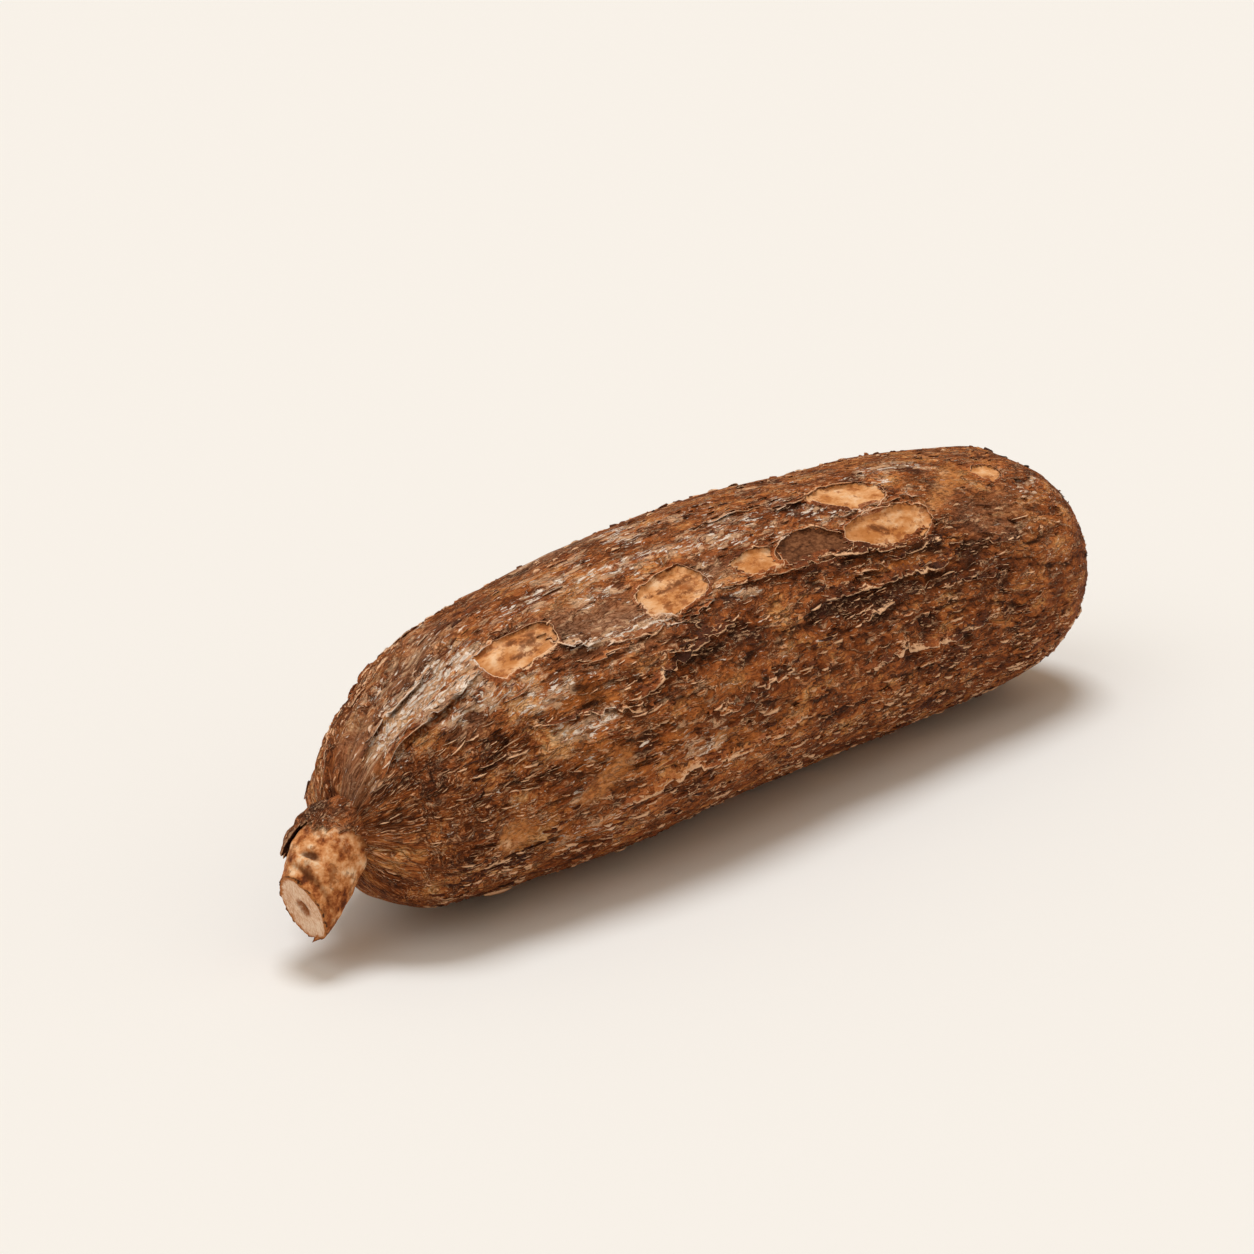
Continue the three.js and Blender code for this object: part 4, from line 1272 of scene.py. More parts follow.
@dataclass
class BarkEdges:
    """Ragged lips of bark along the lifted edges and round the peeled patches."""

    surface: BarkSurface
    step: float = 0.6
    lift_foot: float = 0.55
    lift_reach: float = 1.1
    lift_seeds: range = range(300, 1200, 31)
    patch_foot: float = 1.6
    patch_reach: float = 0.55
    patch_seeds: range = range(900, 1500, 37)
    lip_height: float = 0.55
    thickness: float = 0.22
    step_back: float = 0.8
    # Each row: how far back, how high, how pale the edge is (pale torn bark, partly painted highlight) and
    # how much painted shade its underside takes.
    section: Sequence[tuple[float, float, float, float]] = (
        (-1.0, -0.50, 0.0, 0.0), (-0.62, 0.02, 0.0, 0.0), (-0.34, 0.35, 0.10, 0.0), (-0.14, 0.8, 0.30, 0.0),
        (0.0, 1.0, 1.0, 0.0), (-0.05, 0.5, 0.9, 0.4), (-0.4, -0.6, 0.0, 1.0), (-0.8, -1.8, 0.0, 1.0),
    )

    def lip(self, path: Array, closed: bool, inward: float, foot: float, reach: float,
            seed: int) -> tuple[Array, list[tuple[int, ...]], dict[str, Array]]:
        """Sweep a ragged lip along a path.

        Args:
            path: (x, angle) points of the edge.
            closed: whether the path closes.
            inward: which side the lip hangs over, 1 to the left of the path and -1 to the right.
            foot: how far back the lip starts, in mm.
            reach: how far the lip hangs over the edge, in mm.
            seed: which raggedness to draw.

        Returns:
            Points in mm, faces and looks.
        """
        arc = self.surface.arc(path[0, 0])
        flat = path * (1.0, arc)
        padded = np.pad(flat, ((1, 1), (0, 0)), mode="wrap" if closed else "edge")
        along = padded[2:] - padded[:-2]
        along /= np.linalg.norm(along, axis=1, keepdims=True) + 1e-9
        across = np.stack([-along[:, 1], along[:, 0]], axis=1) * inward
        run = np.arange(len(path)) * self.step
        fade = np.ones(len(path)) if closed else np.sin(np.pi * np.linspace(0.01, 0.99, len(path))) ** 0.7
        line = run[:, None] * (1.0, 0.0, 0.0)
        coarse, fine = layered(line / 4.2, seed, 2), drift(line / 1.1, seed + 7)
        notch = smooth_step(layered(line / 2.4, seed + 11, 2), 0.33, 0.45)
        hang = reach * (0.2 + 1.1 * coarse) + 0.28 * (fine - 0.5)
        hang = (hang * notch - 0.35 * (1.0 - notch)) * fade
        curl = self.lip_height * (0.3 + 1.4 * drift(line / 4.3, seed + 19)) * fade * (0.3 + 0.7 * notch)
        backs, rises, rims, underside_shades = np.array(self.section).T
        points = []
        for back, rise in zip(backs, rises):
            offset = hang + back * foot
            lift = curl * max(rise, 0.0) + min(rise, 0.0) * self.thickness
            base = (flat + across * np.minimum(offset, -self.step_back)[:, None]) / (1.0, arc)
            level = self.surface.read(base[:, 0], base[:, 1]).height
            place = (flat + across * offset[:, None]) / (1.0, arc)
            points.append(self.surface.form.point(place[:, 0], place[:, 1], level + lift))
        count, ring = len(path), len(self.section)
        points = np.stack(points, axis=1).reshape(-1, 3)
        faces = ring_faces(count, ring, closed)
        if not closed:
            faces += [tuple(reversed(range(ring))), tuple(range((count - 1) * ring, count * ring))]
        looks = self.surface.looks(np.repeat(path[:, 0], ring), np.repeat(path[:, 1], ring)) | {
            "rim": np.tile(rims, count),
            "under": np.tile(underside_shades, count),
            "lot": np.repeat(0.34 + 0.9 * layered(line / 6.0, seed + 29, 2), ring),
            "patina": np.full(count * ring, 0.5),
        }
        return points, outward(points, faces), looks

    def build(self, finish: BarkFinish) -> bpy.types.Object:
        """Return all lips as one piece."""
        parts = []
        for seed, lift in zip(self.lift_seeds, LIFTS.values()):
            path = self.surface.path_of(lift.path, False, self.step)
            foot = self.lift_foot * lift.width
            parts.append(self.lip(path, False, lower_side(path), foot, self.lift_reach, seed))
        for seed, patch in zip(self.patch_seeds, PATCHES.values()):
            if not patch.crisp:
                continue
            path = self.surface.path_of(patch.outline, True, self.step)
            flat = path * (1.0, self.surface.arc(path[0, 0]))
            swept = np.sum(flat[:, 0] * np.roll(flat[:, 1], -1) - np.roll(flat[:, 0], -1) * flat[:, 1])
            inward, reach = 1.0 if swept > 0 else -1.0, self.patch_reach * min(patch.depth, 1.0)
            parts.append(self.lip(path, True, inward, self.patch_foot, reach, seed))
        return joined("bark_edges", parts, finish.torn("torn_bark"))


def joined(name: str, parts: Sequence[tuple[Array, list, dict[str, Array]]],
           material: bpy.types.Material) -> bpy.types.Object:
    """Make one piece of several sets of points, faces and looks."""
    points, faces = [], []
    count = 0
    for part_points, part_faces, _ in parts:
        points.append(part_points)
        faces.extend(tuple(corner + count for corner in face) for face in part_faces)
        count += len(part_points)
    looks = {look: np.concatenate([part[2][look] for part in parts]) for look in parts[0][2]}
    return new_piece(name, np.concatenate(points), faces, looks, material)


@dataclass(frozen=True)
class Mark:
    """A mark on the stub: its place, angle, length, spread in degrees, and depth in mm or strength."""

    along: float
    angle: float
    length: float
    spread: float
    amount: float

    def reach(self, along: Array, angle: Array) -> Array:
        """Return how much of the mark is felt at some places, from 0 to 1."""
        return bell(along - self.along, self.length) * bell(turn_between(angle, self.angle), self.spread)

    def at(self, along: Array, angle: Array) -> Array:
        """Return the mark's depth or strength at some places."""
        return self.amount * self.reach(along, angle)


@dataclass
class StubForm:
    """The stem stub's form, with the sizes and formulas of the part's source, in millimetres."""

    route: Sequence[tuple[float, float, float]] = ((-126, -1, 28.6), (-136.8, -1, 25), (-145, -2.4, 15))
    girth: Profile = Profile([(0, 6), (0.2, 7.6), (0.45, 8), (0.7, 8.1), (0.88, 7.9), (1, 7.5)])
    facing: Profile = Profile([(0, -1, 0, 0), (0.5, -0.86, -0.05, -0.5), (1, -0.935, 0.133, -0.333)])
    tall: float = 1.08
    waves: Sequence[tuple[float, int, float, float]] = ((0.22, 3, 9, 0), (0.16, 5, -5, 1))
    marks: Sequence[Mark] = (
        Mark(0.70, 14, 0.06, 24, 1.3), Mark(0.80, 22, 0.08, 28, -0.6), Mark(0.62, 150, 0.1, 28, -0.3),
    )

    def point(self, along: Array, angle: Array, share: Array | float, rise: Array | float = 0.0,
              lift: Array | float = 0.0) -> Array:
        """Return points on the stub.

        Args:
            along: share of the stub's route.
            angle: angle round it, in degrees from its top.
            share: share of its radius.
            rise: how far the point stands out along the stub, in mm.
            lift: how far it stands out from the side, in mm.

        Returns:
            The points, in mm.
        """
        along, angle, share, rise, lift = np.broadcast_arrays(along, angle, share, rise, lift)
        facing = self.facing.read(along)
        facing = facing / np.linalg.norm(facing, axis=-1, keepdims=True)
        upward = np.array([0.0, 0.0, 1.0]) - facing * facing[..., 2:]
        upward = upward / np.linalg.norm(upward, axis=-1, keepdims=True)
        sideways = np.cross(upward, facing)
        radians = np.radians(angle)
        radius = self.girth.read(along)[..., 0]
        for size, count, pace, phase in self.waves:
            radius = radius + size * np.sin(count * radians + pace * along + phase)
        for mark in self.marks:
            radius = radius - mark.at(along, angle)
        radius = radius * share + lift
        start, middle, end = (np.array(corner, float) for corner in self.route)
        part = along[..., None]
        centre = (1 - part) ** 2 * start + 2 * (1 - part) * part * middle + part**2 * end
        return (centre + upward * (radius * self.tall * np.cos(radians))[..., None]
                + sideways * (radius * np.sin(radians))[..., None] + facing * rise[..., None])


@dataclass
class StemStub:
    """The cut stub of the stem, with its knots, ragged rim, cut face and pith."""

    form: StubForm
    columns: int = 150
    rows: int = 84
    face_rings: int = 22
    cut: Profile = Profile([(0, -1), (0.13, -0.9), (0.24, -0.1), (0.5, 0), (0.84, 0), (0.95, 0.3), (1, 0)])
    furrow: Mark = Mark(0.88, 25, 0.03, 55, 0.6)
    # Painted shadow in the furrow behind the cut rim.
    shaded: Mark = Mark(0.88, 30, 0.028, 60, 0.8)
    # Painted highlight (sheen) on the top of the stub, near the knot.
    sheen_marks: Sequence[Mark] = (Mark(0.76, 12, 0.07, 24, 1.0), Mark(0.42, 10, 0.07, 40, 0.8))
    spike: Mark = Mark(1.0, 168, 0.02, 7, 1.5)
    teeth: float = 1.0
    start: float = 0.04
    length: float = 24.0
    radius: float = 8.0
    rim_radius: float = 7.0

    def relief(self, along: Array, angle: Array) -> Array:
        """Return the stub's fine relief, in mm."""
        places = np.roll(on_rings(self.radius, angle, along * self.length), 1, axis=-1)
        lumps = 0.9 * (layered(places / 4.6, 501) - 0.5)
        wrinkles = 0.5 * (layered(places / (1.3, 3.0, 3.0), 531) - 0.5)
        furrow = self.furrow.at(along - 0.03 * np.sin(np.radians(angle) * 2.0), angle)
        rim = 0.5 * smooth_step(along, 0.93, 0.985) * (drift(places / (40.0, 0.9, 0.9), 571) - 0.35)
        return lumps + wrinkles - furrow + rim

    def build(self, finish: StubFinish) -> bpy.types.Object:
        """Return the stub as one closed piece."""
        angle_row = np.arange(self.columns) * 360.0 / self.columns
        along, angle = np.meshgrid(np.linspace(self.start, 1.0, self.rows), angle_row, indexing="ij")
        lift = self.relief(along, angle)
        rim = on_rings(self.rim_radius, angle)
        teeth = self.teeth * (drift(rim / 0.75, 601) - 0.4) * smooth_step(along, 0.97, 1.0)
        teeth = teeth + self.spike.at(along, angle)
        side = self.form.point(along, angle, 1.0, teeth, lift)
        share, turn = np.meshgrid(np.linspace(0.985, 0.03, self.face_rings), angle_row, indexing="ij")
        spokes = on_rings(self.rim_radius * share, turn)
        rough = 0.28 * (layered(spokes / 1.1, 641) - 0.5) + self.cut.read(share)[..., 0]
        rim_lift = np.repeat(lift[-1:], self.face_rings, axis=0) * share
        face = self.form.point(np.ones_like(share), turn, share, rough, rim_lift)
        centre = self.form.point(np.ones(1), np.zeros(1), 0.0, -1.0)
        root = self.form.point(np.full(1, self.start), np.zeros(1), 0.0)
        points = np.concatenate([side.reshape(-1, 3), face.reshape(-1, 3), centre, root])
        faces = closed_rings(self.rows + self.face_rings, self.columns, len(points) - 1, len(points) - 2)
        along_all = np.concatenate([along.ravel(), np.ones(share.size + 1), [0.0]])
        angle_all = np.concatenate([angle.ravel(), turn.ravel(), [0.0, 0.0]])
        rho = np.concatenate([np.ones(side[..., 0].size), share.ravel(), [0.0, 1.0]])
        on_face = np.concatenate([smooth_step(along, 0.985, 1.0).ravel(), np.ones(share.size + 1), [0.0]])
        knot = self.form.marks[0].reach(along_all, angle_all) + 0.25 * drift(points / 1.3, 655) - 0.12
        # shade: the real dark knot, plus painted shadow behind the rim and painted shade at the base inside
        # the collar.
        shade = np.clip(1.15 * smooth_step(knot, 0.3, 0.85)
                        + self.shaded.at(along_all, angle_all)
                        + 0.9 * smooth_step(-along_all, -0.40, -0.24), 0.0, 1.0)
        # pale: painted highlight on the stub's top.
        pale = np.clip(sum(mark.at(along_all, angle_all) for mark in self.sheen_marks), 0.0, 1.0)
        looks = {"rho": rho, "face": on_face, "shade": shade, "pale": pale}
        return new_piece("stem_stub", points, outward(points, faces), looks, finish.build())


@dataclass(frozen=True)
class Sweep:
    """A soft change round a ring: the angle where it is strongest, its half width and its amount."""

    angle: float
    width: float
    amount: float

    def at(self, angle: Array) -> Array:
        """Return the change at some angles."""
        return self.amount * bell(turn_between(angle, self.angle), self.width)


@dataclass
class StemCollar:
    """The torn sleeve of bark round the stub, with a flap that stands away from it.

    Its sizes are shares of the stub's route along it, and of the stub's radius outwards, apart from
    `crumple`, `length` and `radius`, which are in mm.  `rises` says how thick the sleeve is between its
    foot (0) and its edge (1), and `rims` how pale.
    """

    form: StubForm
    columns: int = 260
    rows: int = 18
    rises: Path = (
        (0.0, 0.0), (0.16, 0.6), (0.30, 0.9), (0.44, 1.0), (0.58, 1.0), (0.72, 0.85), (0.86, 0.65),
        (0.96, 0.45),
    )
    # How pale the torn edge is, partly painted highlight.
    rims: Path = ((0.72, 0.0), (0.86, 0.15), (0.96, 0.6))
    back: float = 0.08
    reach: float = 0.39
    gap: float = 0.03
    thickness: float = 0.15
    hug_sink: float = 0.08
    hug_thinner: float = 0.5
    brow: Sweep = Sweep(-10.0, 60.0, 0.06)
    hug: Sweep = Sweep(95.0, 48.0, 1.0)
    flap: Sweep = Sweep(-82.0, 34.0, 0.24)
    flare: Sweep = Sweep(-82.0, 34.0, 0.20)
    hug_reach: float = 0.17
    waves: Sequence[tuple[float, int, float]] = ((0.012, 5, 1.0), (0.01, 9, 2.2))
    crumple: float = 1.5
    length: float = 24.0
    radius: float = 9.0
    even_looks: Sequence[tuple[str, float]] = (
        ("cave", 0.0), ("foot", 0.0), ("dust", 0.2), ("warm", 0.0), ("dark", 0.3), ("plate", 0.15),
        ("patina", 0.5), ("fibre", 0.6),
    )

    def build(self, finish: BarkFinish) -> bpy.types.Object:
        """Return the collar as one closed ring."""
        angle = np.arange(self.columns) * 360.0 / self.columns
        radians = np.radians(angle)
        ring = on_rings(self.radius, angle)
        torn = sum(size * np.sin(count * radians + phase) for size, count, phase in self.waves)
        ragged = 0.12 * (layered(ring / 1.5, 701) - 0.5) + 0.07 * (drift(ring / 0.45, 731) - 0.5)
        hug = self.hug.at(angle)
        edge = self.reach + torn + self.brow.at(angle) + self.flap.at(angle) - self.hug_reach * hug
        edge = edge + ragged * (1.0 + 3.0 * self.flap.at(angle)) * (1.0 - 0.5 * hug)
        inner = 1.0 + self.gap + self.flare.at(angle) - self.hug_sink * hug
        inner = inner + 0.05 * (layered(ring / 2.2, 761) - 0.5)
        thick = self.thickness * (1.0 - self.hug_thinner * hug)
        start = np.full_like(angle, self.back)
        shares = np.linspace(0.96, 0.0, self.rows)
        rises = np.interp(shares, *np.transpose(self.rises))
        rim_shares = np.interp(shares, *np.transpose(self.rims))
        # Each row: place along, share of the radius, pale rim (partly painted highlight) and painted shade
        # on the faces inside the sleeve.
        section = [
            (start, np.full_like(angle, 0.85), 0.0, 1.0),
            ((start + edge) / 2, inner - 0.02, 0.0, 1.0),
            (edge - 0.02, inner, 0.5, 1.0),
            (edge, inner + thick * 0.2, 1.0, 0.3),
        ] + [
            (start + (edge - start) * share, inner + thick * rise, rim, 0.0)
            for share, rise, rim in zip(shares, rises, rim_shares)
        ]
        points = []
        for along, share, _, under in section:
            rows = on_rings(self.radius, angle, along * self.length)
            rough = float(under == 0.0) * self.crumple * (1.0 - 0.7 * hug)
            lift = rough * (layered(rows / (1.2, 1.2, 1.9), 791) - 0.5)
            points.append(self.form.point(along, angle, share, 0.0, lift))
        faces = ring_faces(len(section), self.columns, True)
        points = np.concatenate(points)
        looks = {look: np.full(len(points), value) for look, value in self.even_looks}
        looks |= {
            "bark": points * CM_PER_MM,
            "fall": np.tile((0.0, 0.0, -1.0), (len(points), 1)),
            "rim": np.repeat([row[2] for row in section], self.columns),
            "under": np.repeat([row[3] for row in section], self.columns),
        }
        return new_piece("stem_collar", points, outward(points, faces), looks, finish.collar())


def outward(points: Array, faces: list[tuple[int, ...]]) -> list[tuple[int, ...]]:
    """Return a closed shape's faces turned so that they face outwards."""
    volume = 0.0
    for size in {len(face) for face in faces}:
        corners = np.array([face for face in faces if len(face) == size])
        for second in range(1, size - 1):
            first, middle, last = (points[corners[:, place]] for place in (0, second, second + 1))
            volume += float(np.sum(np.cross(first, middle) * last))
    return faces if volume > 0 else [tuple(reversed(face)) for face in faces]


@dataclass
class Shard:
    """One torn flake of bark, of unit size, lying along X with its free edge towards +Y."""

    seed: int
    steps: int = 4
    taper: float = 0.75

    def build(self) -> bpy.types.Object:
        """Return the flake as a closed lens of bark."""
        run = np.linspace(-0.5, 0.5, self.steps + 1)
        line = run[:, None] * (3.0, 0.0, 0.0)
        ragged = drift(line / 0.6, self.seed) - 0.5
        end = 1.0 - self.taper * np.abs(2.0 * run) ** 3.0
        lean = 0.12 * (drift(line / 1.4, self.seed + 5) - 0.5)
        root = np.stack([run, -0.30 * end + lean, np.full_like(run, -0.55)], axis=1)
        rim = np.stack([run + 0.05 * ragged, (0.72 + 0.7 * ragged) * end + lean,
                        0.25 + 0.75 * end * (0.6 + 0.8 * (ragged + 0.5))], axis=1)
        crown = np.stack([run, 0.30 * end + lean, 0.16 + 0.30 * end], axis=1)
        belly = crown - (0.0, 0.0, 0.34)
        points = np.concatenate([root, crown, rim, belly])
        count = self.steps + 1
        starts = (0, count, 2 * count, 3 * count)
        faces = [
            (start + index, start + index + 1, after + index + 1, after + index)
            for index in range(self.steps) for start, after in zip(starts, starts[1:] + starts[:1])
        ]
        faces += [starts, tuple(start + self.steps for start in (0, *starts[:0:-1]))]
        looks = {
            # Pale torn rim, partly painted highlight, and painted shade on the belly underneath.
            "rim": np.repeat((0.0, 0.58, 1.0, 0.3), count),
            "under": np.repeat((0.0, 0.0, 0.0, 1.0), count),
        }
        return new_piece(f"shard_{self.seed}", points / MM, outward(points, faces), looks)


class ShardTree(Nodes):
    """Geometry nodes that stand one of several shards on every anchor, then make them one mesh."""

    inputs = {
        "Geometry": "Geometry", "Length": "Float", "Width": "Float", "Lift": "Float", "Scatter": "Float",
        "Seed": "Int", "Finish": "Material",
    }

    def __init__(self, shards: Sequence[bpy.types.Object]) -> None:
        """Build the tree with its named inputs."""
        self.tree = bpy.data.node_groups.new("bark_shards", "GeometryNodeTree")
        self.sockets = {name: self.socket(name, kind, "INPUT") for name, kind in self.inputs.items()}
        self.socket("Geometry", "Geometry", "OUTPUT")
        entry = self.add("NodeGroupInput").outputs
        choices = self.add("GeometryNodeJoinGeometry")
        for shard in shards:
            source = self.add("GeometryNodeObjectInfo", {"Object": shard, "As Instance": True})
            self.plug(choices.inputs[0], source.outputs["Geometry"])
        seeds = [self.math("ADD", entry["Seed"], shift) for shift in (3.0, 5.0, 9.0)]
        pick = self.random("INT", 0, len(shards) - 1, entry["Seed"])
        turn = self.random("FLOAT", -1.0, 1.0, seeds[0])
        stretch = self.random("FLOAT", 0.6, 1.5, seeds[1])
        lot = self.random("FLOAT", 0.0, 1.0, seeds[2])
        up, grain = self.read("up", "FLOAT_VECTOR"), self.read("grain", "FLOAT_VECTOR")
        axes = self.add("FunctionNodeAxesToRotation", {0: up, 1: grain}, primary_axis="Z",
                        secondary_axis="X")
        angles = self.add("ShaderNodeCombineXYZ", {
            0: self.read("tilt", "FLOAT"), 2: self.math("MULTIPLY", turn, entry["Scatter"]),
        })
        local = self.add("FunctionNodeEulerToRotation", {0: angles.outputs[0]})
        turned = self.add("FunctionNodeRotateRotation", {0: axes.outputs[0], 1: local.outputs[0]},
                          rotation_space="LOCAL")
        size = self.read("size", "FLOAT")
        length, width, lift = (
            self.math("MULTIPLY", size, entry[name]) for name in ("Length", "Width", "Lift")
        )
        length = self.math("MULTIPLY", length, stretch)
        scale = self.add("ShaderNodeCombineXYZ", {0: length, 1: width, 2: lift})
        stand = self.add("GeometryNodeInstanceOnPoints", {
            "Points": entry["Geometry"], "Instance": choices.outputs[0], "Pick Instance": True,
            "Instance Index": pick, "Rotation": turned.outputs[0], "Scale": scale.outputs[0],
        })
        store = self.add("GeometryNodeStoreNamedAttribute", {
            0: stand.outputs[0], "Name": "lot", "Value": lot,
        }, data_type="FLOAT", domain="INSTANCE")
        solid = self.add("GeometryNodeRealizeInstances", {0: store.outputs[0]})
        dress = self.add("GeometryNodeSetMaterial", {0: solid.outputs[0], "Material": entry["Finish"]})
        self.add("NodeGroupOutput", {0: dress.outputs[0]})

    def socket(self, name: str, kind: str, way: str) -> str:
        """Add a named input or output and return its identifier."""
        return self.tree.interface.new_socket(name, in_out=way, socket_type=f"NodeSocket{kind}").identifier

    def read(self, name: str, kind: str) -> Socket:
        """Return one of the anchors' own values."""
        node = self.add("GeometryNodeInputNamedAttribute", {0: name}, data_type=kind)
        return next(output for output in node.outputs if output.enabled)

    def random(self, kind: str, low: float, high: float, seed: Socket) -> Socket:
        """Return one random number for each anchor."""
        node = self.add("FunctionNodeRandomValue", data_type=kind)
        sockets = {socket.name: socket for socket in node.inputs if socket.enabled}
        for name, value in (("Min", low), ("Max", high), ("Seed", seed)):
            self.plug(sockets[name], value)
        return next(output for output in node.outputs if output.enabled)

    def grow(self, anchors: bpy.types.Object, settings: dict[str, object]) -> bpy.types.Object:
        """Stand the shards on the anchors.

        Args:
            anchors: an object whose vertices are the places.
            settings: a value for each named input.

        Returns:
            A plain piece with the anchors' name, which replaces them.
        """
        modifier = anchors.modifiers.new("shards", "NODES")
        modifier.node_group = self.tree
        for name, value in settings.items():
            modifier[self.sockets[name]] = value
        graph = bpy.context.evaluated_depsgraph_get()
        mesh = bpy.data.meshes.new_from_object(anchors.evaluated_get(graph))
        mesh.name = name = anchors.name
        anchors.modifiers.remove(modifier)
        bpy.data.objects.remove(anchors)
        mesh.polygons.foreach_set("use_smooth", np.ones(len(mesh.polygons), bool))
        return in_scene(name, mesh)


@dataclass
class ShardField:
    """Loose flakes of one size, scattered over part of the bark.

    `length`, `width` and `lift` are in mm, `side` and `span` are the angles and lengths that the field
    covers, and `tilt` and `scatter` are in radians.
    """

    surface: BarkSurface
    name: str
    count: int
    length: float
    width: float
    lift: float
    seed: int
    side: tuple[float, float]
    span: tuple[float, float] = (-126.0, 141.0)
    scatter: float = 0.22
    reversed_share: float = 0.2
    tries: int = 9
    full_girth: float = 37.0
    crowd_size: Scale = (12.0, 6.0, 6.0)
    crowd_step: tuple[float, float] = (0.42, 0.60)
    sparse: float = 0.18
    sizes: tuple[float, float] = (-0.1, 0.38)
    size_limits: tuple[float, float] = (0.4, 2.0)
    clear_underside: float = 22.0
    clear_patches: float = 0.6
    floor_fade: tuple[float, float] = (1.5, 7.0)
    tilt: tuple[float, float] = (-0.08, 0.30)

    def anchors(self) -> tuple[Array, Array, Array]:
        """Draw the places of the flakes, and their sizes, where the bark is scaly."""
        draw, surface = np.random.default_rng(self.seed), self.surface
        tries = self.count * self.tries
        runs = draw.uniform(*np.interp(self.span, surface.fine_x, surface.run), tries)
        x = np.interp(runs, surface.run, surface.fine_x)
        middle, half = (self.side[0] + self.side[1]) / 2, (self.side[1] - self.side[0]) / 2
        angle = turn_between(middle + draw.uniform(-half, half, tries), TOP)
        keep = draw.uniform(0.0, 1.0, tries) < surface.form.radius(x) / self.full_girth
        keep &= draw.uniform(0.0, 1.0, tries) < 1.1 * surface.roughness(x, angle) ** 1.5
        crowd = smooth_step(layered(surface.unrolled(x, angle) / self.crowd_size, 173), *self.crowd_step)
        keep &= draw.uniform(0.0, 1.0, tries) < self.sparse + (1.0 - self.sparse) * crowd
        keep &= np.abs(turn_between(angle, UNDERSIDE)) > self.clear_underside
        x, angle = x[keep][:self.count * 2], angle[keep][:self.count * 2]
        clear = surface.read(x, angle).peel > self.clear_patches
        x, angle = x[clear][:self.count], angle[clear][:self.count]
        size = np.clip(draw.lognormal(*self.sizes, len(x)), *self.size_limits)
        return x, angle, size

    def stand(self, tree: ShardTree, material: bpy.types.Material, x: Array, angle: Array,
              size: Array) -> bpy.types.Object:
        """Stand shards at some places of the bark.

        Args:
            tree: the geometry nodes that stand them.
            material: their finish.
            x: lengths of the places.
            angle: angles of the places.
            size: size of each shard.

        Returns:
            All the shards as one piece.
        """
        draw = np.random.default_rng(self.seed + 1)
        bark = self.surface.read(x, angle)
        points = self.surface.form.point(x, angle, bark.height)
        up, along = self.surface.outward(x, angle)
        facing = -np.sign(np.sin(np.radians(angle)) + 1e-6)
        facing = np.where(draw.uniform(0.0, 1.0, len(x)) < self.reversed_share, -facing, facing)
        looks = self.surface.looks(x, angle) | {
            "up": up,
            "grain": along * facing[:, None],
            "size": size * smooth_step(points[:, 2], *self.floor_fade),
            "tilt": draw.uniform(*self.tilt, len(x)),
            "patina": bark.patina,
        }
        return tree.grow(new_piece(self.name, points, [], looks), {
            "Length": self.length * MM, "Width": self.width * MM, "Lift": self.lift * MM,
            "Scatter": self.scatter, "Seed": self.seed, "Finish": material,
        })

    def build(self, tree: ShardTree, material: bpy.types.Material) -> bpy.types.Object:
        """Return the flakes as one piece."""
        return self.stand(tree, material, *self.anchors())


@dataclass
class EdgeShards:
    """Torn chips along the lifted edges and round the peeled patches."""

    surface: BarkSurface
    spacing: float = 1.6
    seed: int = 77
    lift_back: tuple[float, float] = (-0.4, 1.6)
    lift_sizes: tuple[float, float] = (0.5, 1.15)
    patch_grown: tuple[float, float] = (1.03, 1.12)
    patch_sizes: tuple[float, float] = (0.4, 0.8)

    def build(self, tree: ShardTree, material: bpy.types.Material) -> bpy.types.Object:
        """Return the chips as one piece."""
        draw = np.random.default_rng(self.seed)
        places, sizes = [], []
        for lift in LIFTS.values():
            path = self.surface.path_of(lift.path, False, self.spacing)
            back = draw.uniform(*self.lift_back, (len(path), 1)) * np.sign(path[0, 1])
            places.append(path - back * (0.0, 1.0) / self.surface.arc(path[0, 0]))
            sizes.append(draw.uniform(*self.lift_sizes, len(path)))
        for patch in (patch for patch in PATCHES.values() if patch.crisp):
            path = self.surface.path_of(patch.outline, True, self.spacing)
            middle = path.mean(axis=0)
            places.append(middle + (path - middle) * draw.uniform(*self.patch_grown, (len(path), 1)))
            sizes.append(draw.uniform(*self.patch_sizes, len(path)))
        place, size = np.concatenate(places), np.concatenate(sizes)
        chips = ShardField(self.surface, "edge_chips", len(place), 2.4, 0.8, 0.6, 780, ALL_ROUND,
                           scatter=0.35, reversed_share=0.12)
        return chips.stand(tree, material, place[:, 0], place[:, 1], size)


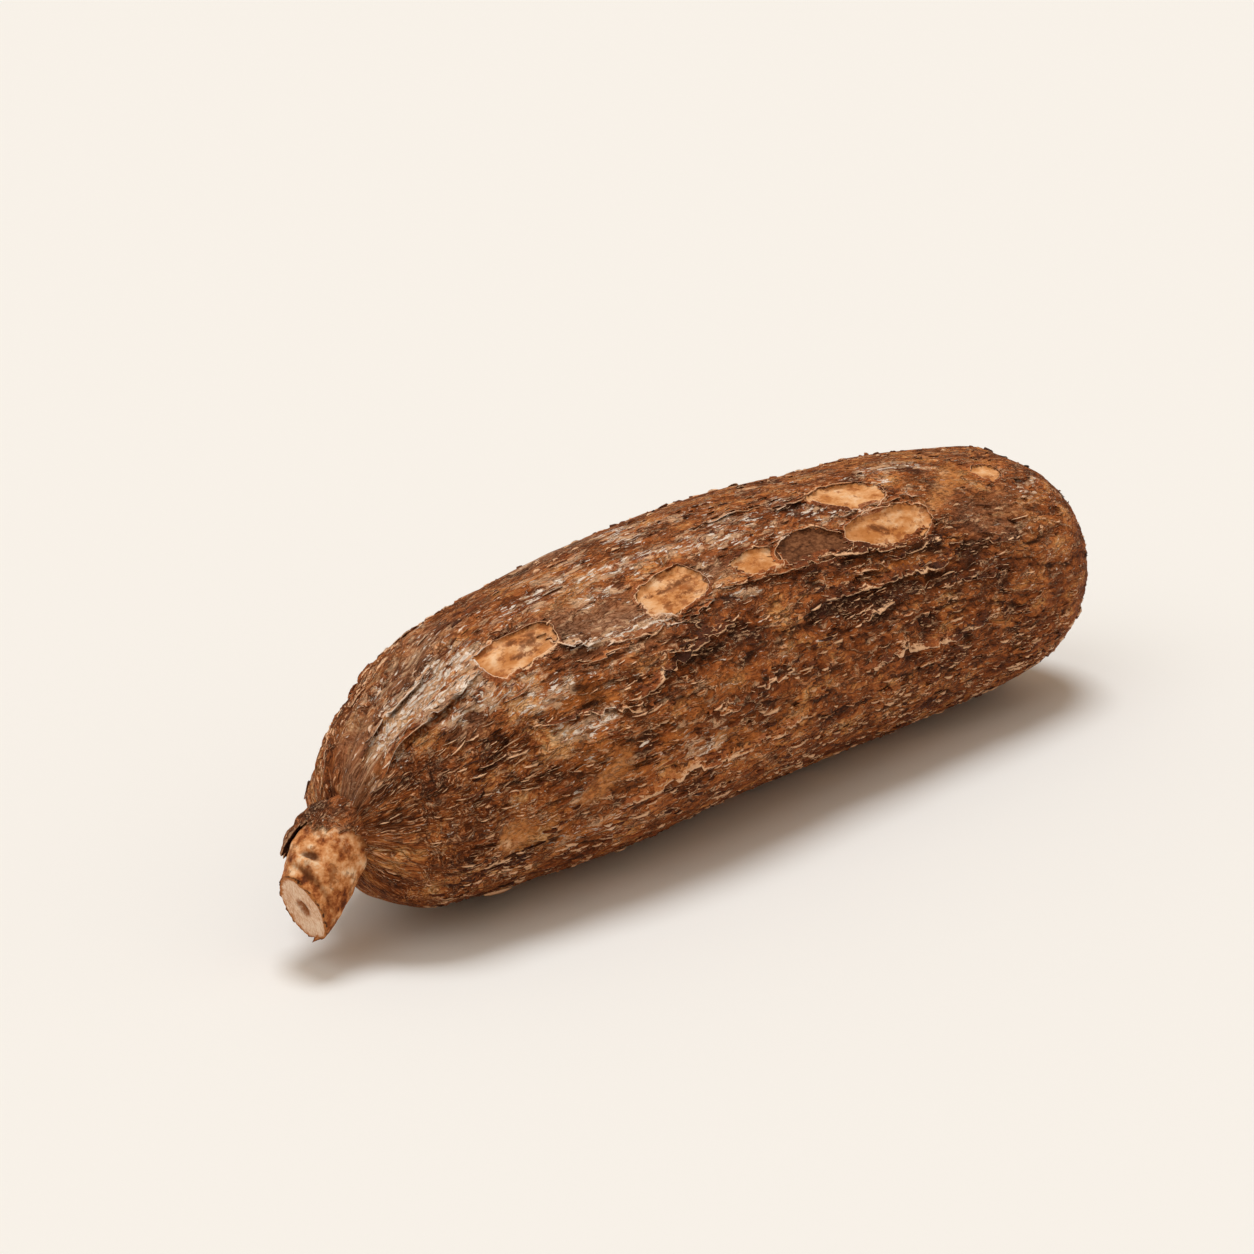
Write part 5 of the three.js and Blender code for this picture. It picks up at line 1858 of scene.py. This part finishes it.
@dataclass
class Studio:
    """Plain pale floor, soft light from above and behind, and the photograph's camera."""

    target: tuple[float, float, float] = (0.0235, 0.0441, 0.030)
    azimuth: float = -50.83
    elevation: float = 17.0
    distance: float = 0.790
    field_of_view: float = 24.0
    sensor: float = 36.0
    floor_size: float = 60.0
    sky_strength: float = 0.47
    sky_colour: tuple[float, float, float, float] = (1.0, 0.81, 0.60, 1.0)
    suns: Sequence[tuple[str, float, float, float, float]] = (
        ("key_light", 1.62, 26.0, 205.0, 82.0), ("fill_light", 0.62, 50.0, -40.0, 46.0),
    )
    lamp_colour: tuple[float, float, float] = (0.95, 1.0, 1.03)

    def floor(self) -> None:
        """Lay the floor, which isn't part of the object."""
        half = self.floor_size / 2 / MM
        corners = np.array([(-half, -half, 0), (half, -half, 0), (half, half, 0), (-half, half, 0)], float)
        new_piece("floor", corners, [(0, 1, 2, 3)], {}, FloorFinish().build())

    def away(self, azimuth: float, elevation: float) -> Array:
        """Return the unit vector from the target towards an azimuth and elevation."""
        across, up = math.radians(azimuth), math.radians(elevation)
        return np.array([math.sin(across) * math.cos(up), -math.cos(across) * math.cos(up), math.sin(up)])

    def aim(self, thing: bpy.types.Object, back: Array) -> None:
        """Turn a lamp or the camera so that its back faces along a vector."""
        from_z = mathutils.Vector(back.tolist())
        thing.rotation_euler = from_z.to_track_quat("Z", "Y").to_euler()

    def light(self) -> None:
        """Light the scene with a soft sun and an even sky."""
        world = bpy.data.worlds.new("soft_sky")
        world.use_nodes = True
        sky = world.node_tree.nodes["Background"]
        sky.inputs["Color"].default_value = self.sky_colour
        sky.inputs["Strength"].default_value = self.sky_strength
        bpy.context.scene.world = world
        for name, strength, width, azimuth, elevation in self.suns:
            lamp = bpy.data.lights.new(name, "SUN")
            lamp.energy = strength
            lamp.angle = math.radians(width)
            lamp.color = self.lamp_colour
            self.aim(in_scene(name, lamp), self.away(self.azimuth + azimuth, elevation))

    def camera(self) -> None:
        """Stand the camera where the photograph was taken from."""
        lens = bpy.data.cameras.new("photo_camera")
        lens.sensor_width = self.sensor
        lens.lens = self.sensor / 2 / math.tan(math.radians(self.field_of_view / 2))
        lens.clip_end = 100.0
        camera = in_scene("photo_camera", lens)
        back = self.away(self.azimuth, self.elevation)
        camera.location = np.array(self.target) + self.distance * back
        self.aim(camera, back)
        bpy.context.scene.camera = camera

    def build(self) -> None:
        """Build the floor, lights and camera."""
        self.floor()
        self.light()
        self.camera()
        bpy.context.scene.view_settings.view_transform = "Standard"
        bpy.context.scene.view_settings.look = "None"


def main() -> None:
    """Build every piece in order, then the floor, lights and camera."""
    logging.basicConfig(level=logging.INFO, format="%(name)s: %(message)s")
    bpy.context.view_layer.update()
    surface = BarkSurface(RootForm())
    bark, stub_form = BarkFinish(), StubForm()
    torn = bark.torn("flake_bark")
    shards = [Shard(seed).build() for seed in SHARD_SEEDS]
    tree = ShardTree(shards)
    skin = BarkSkin(surface).build(bark)
    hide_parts(NODE)
    pieces = [
        skin,
        BarkEdges(surface).build(bark),
        StemStub(stub_form).build(StubFinish()),
        StemCollar(stub_form).build(bark),
        ShardField(surface, "near_flakes", 320, 3.2, 0.62, 0.42, 1001, NEAR_SIDE).build(tree, torn),
        ShardField(surface, "near_slivers", 3000, 1.9, 0.42, 0.34, 2001, NEAR_SIDE).build(tree, torn),
        ShardField(surface, "rear_flakes", 500, 3.8, 0.8, 0.42, 3001, REAR_SIDE).build(tree, torn),
        ShardField(surface, "rear_slivers", 2800, 1.9, 0.42, 0.34, 4001, REAR_SIDE).build(tree, torn),
        ShardField(surface, "neck_slivers", 520, 2.6, 0.42, 0.34, 5001, ALL_ROUND, (-130.0, -94.0),
                   scatter=0.3).build(tree, torn),
        EdgeShards(surface).build(tree, torn),
    ]
    for shard in shards:
        bpy.data.objects.remove(shard)
    for piece in pieces:
        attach(piece, BODY)
        LOG.info("%s: %d triangles", piece.name, count_triangles(piece))
    Studio().build()


if __name__ == "__main__":
    main()
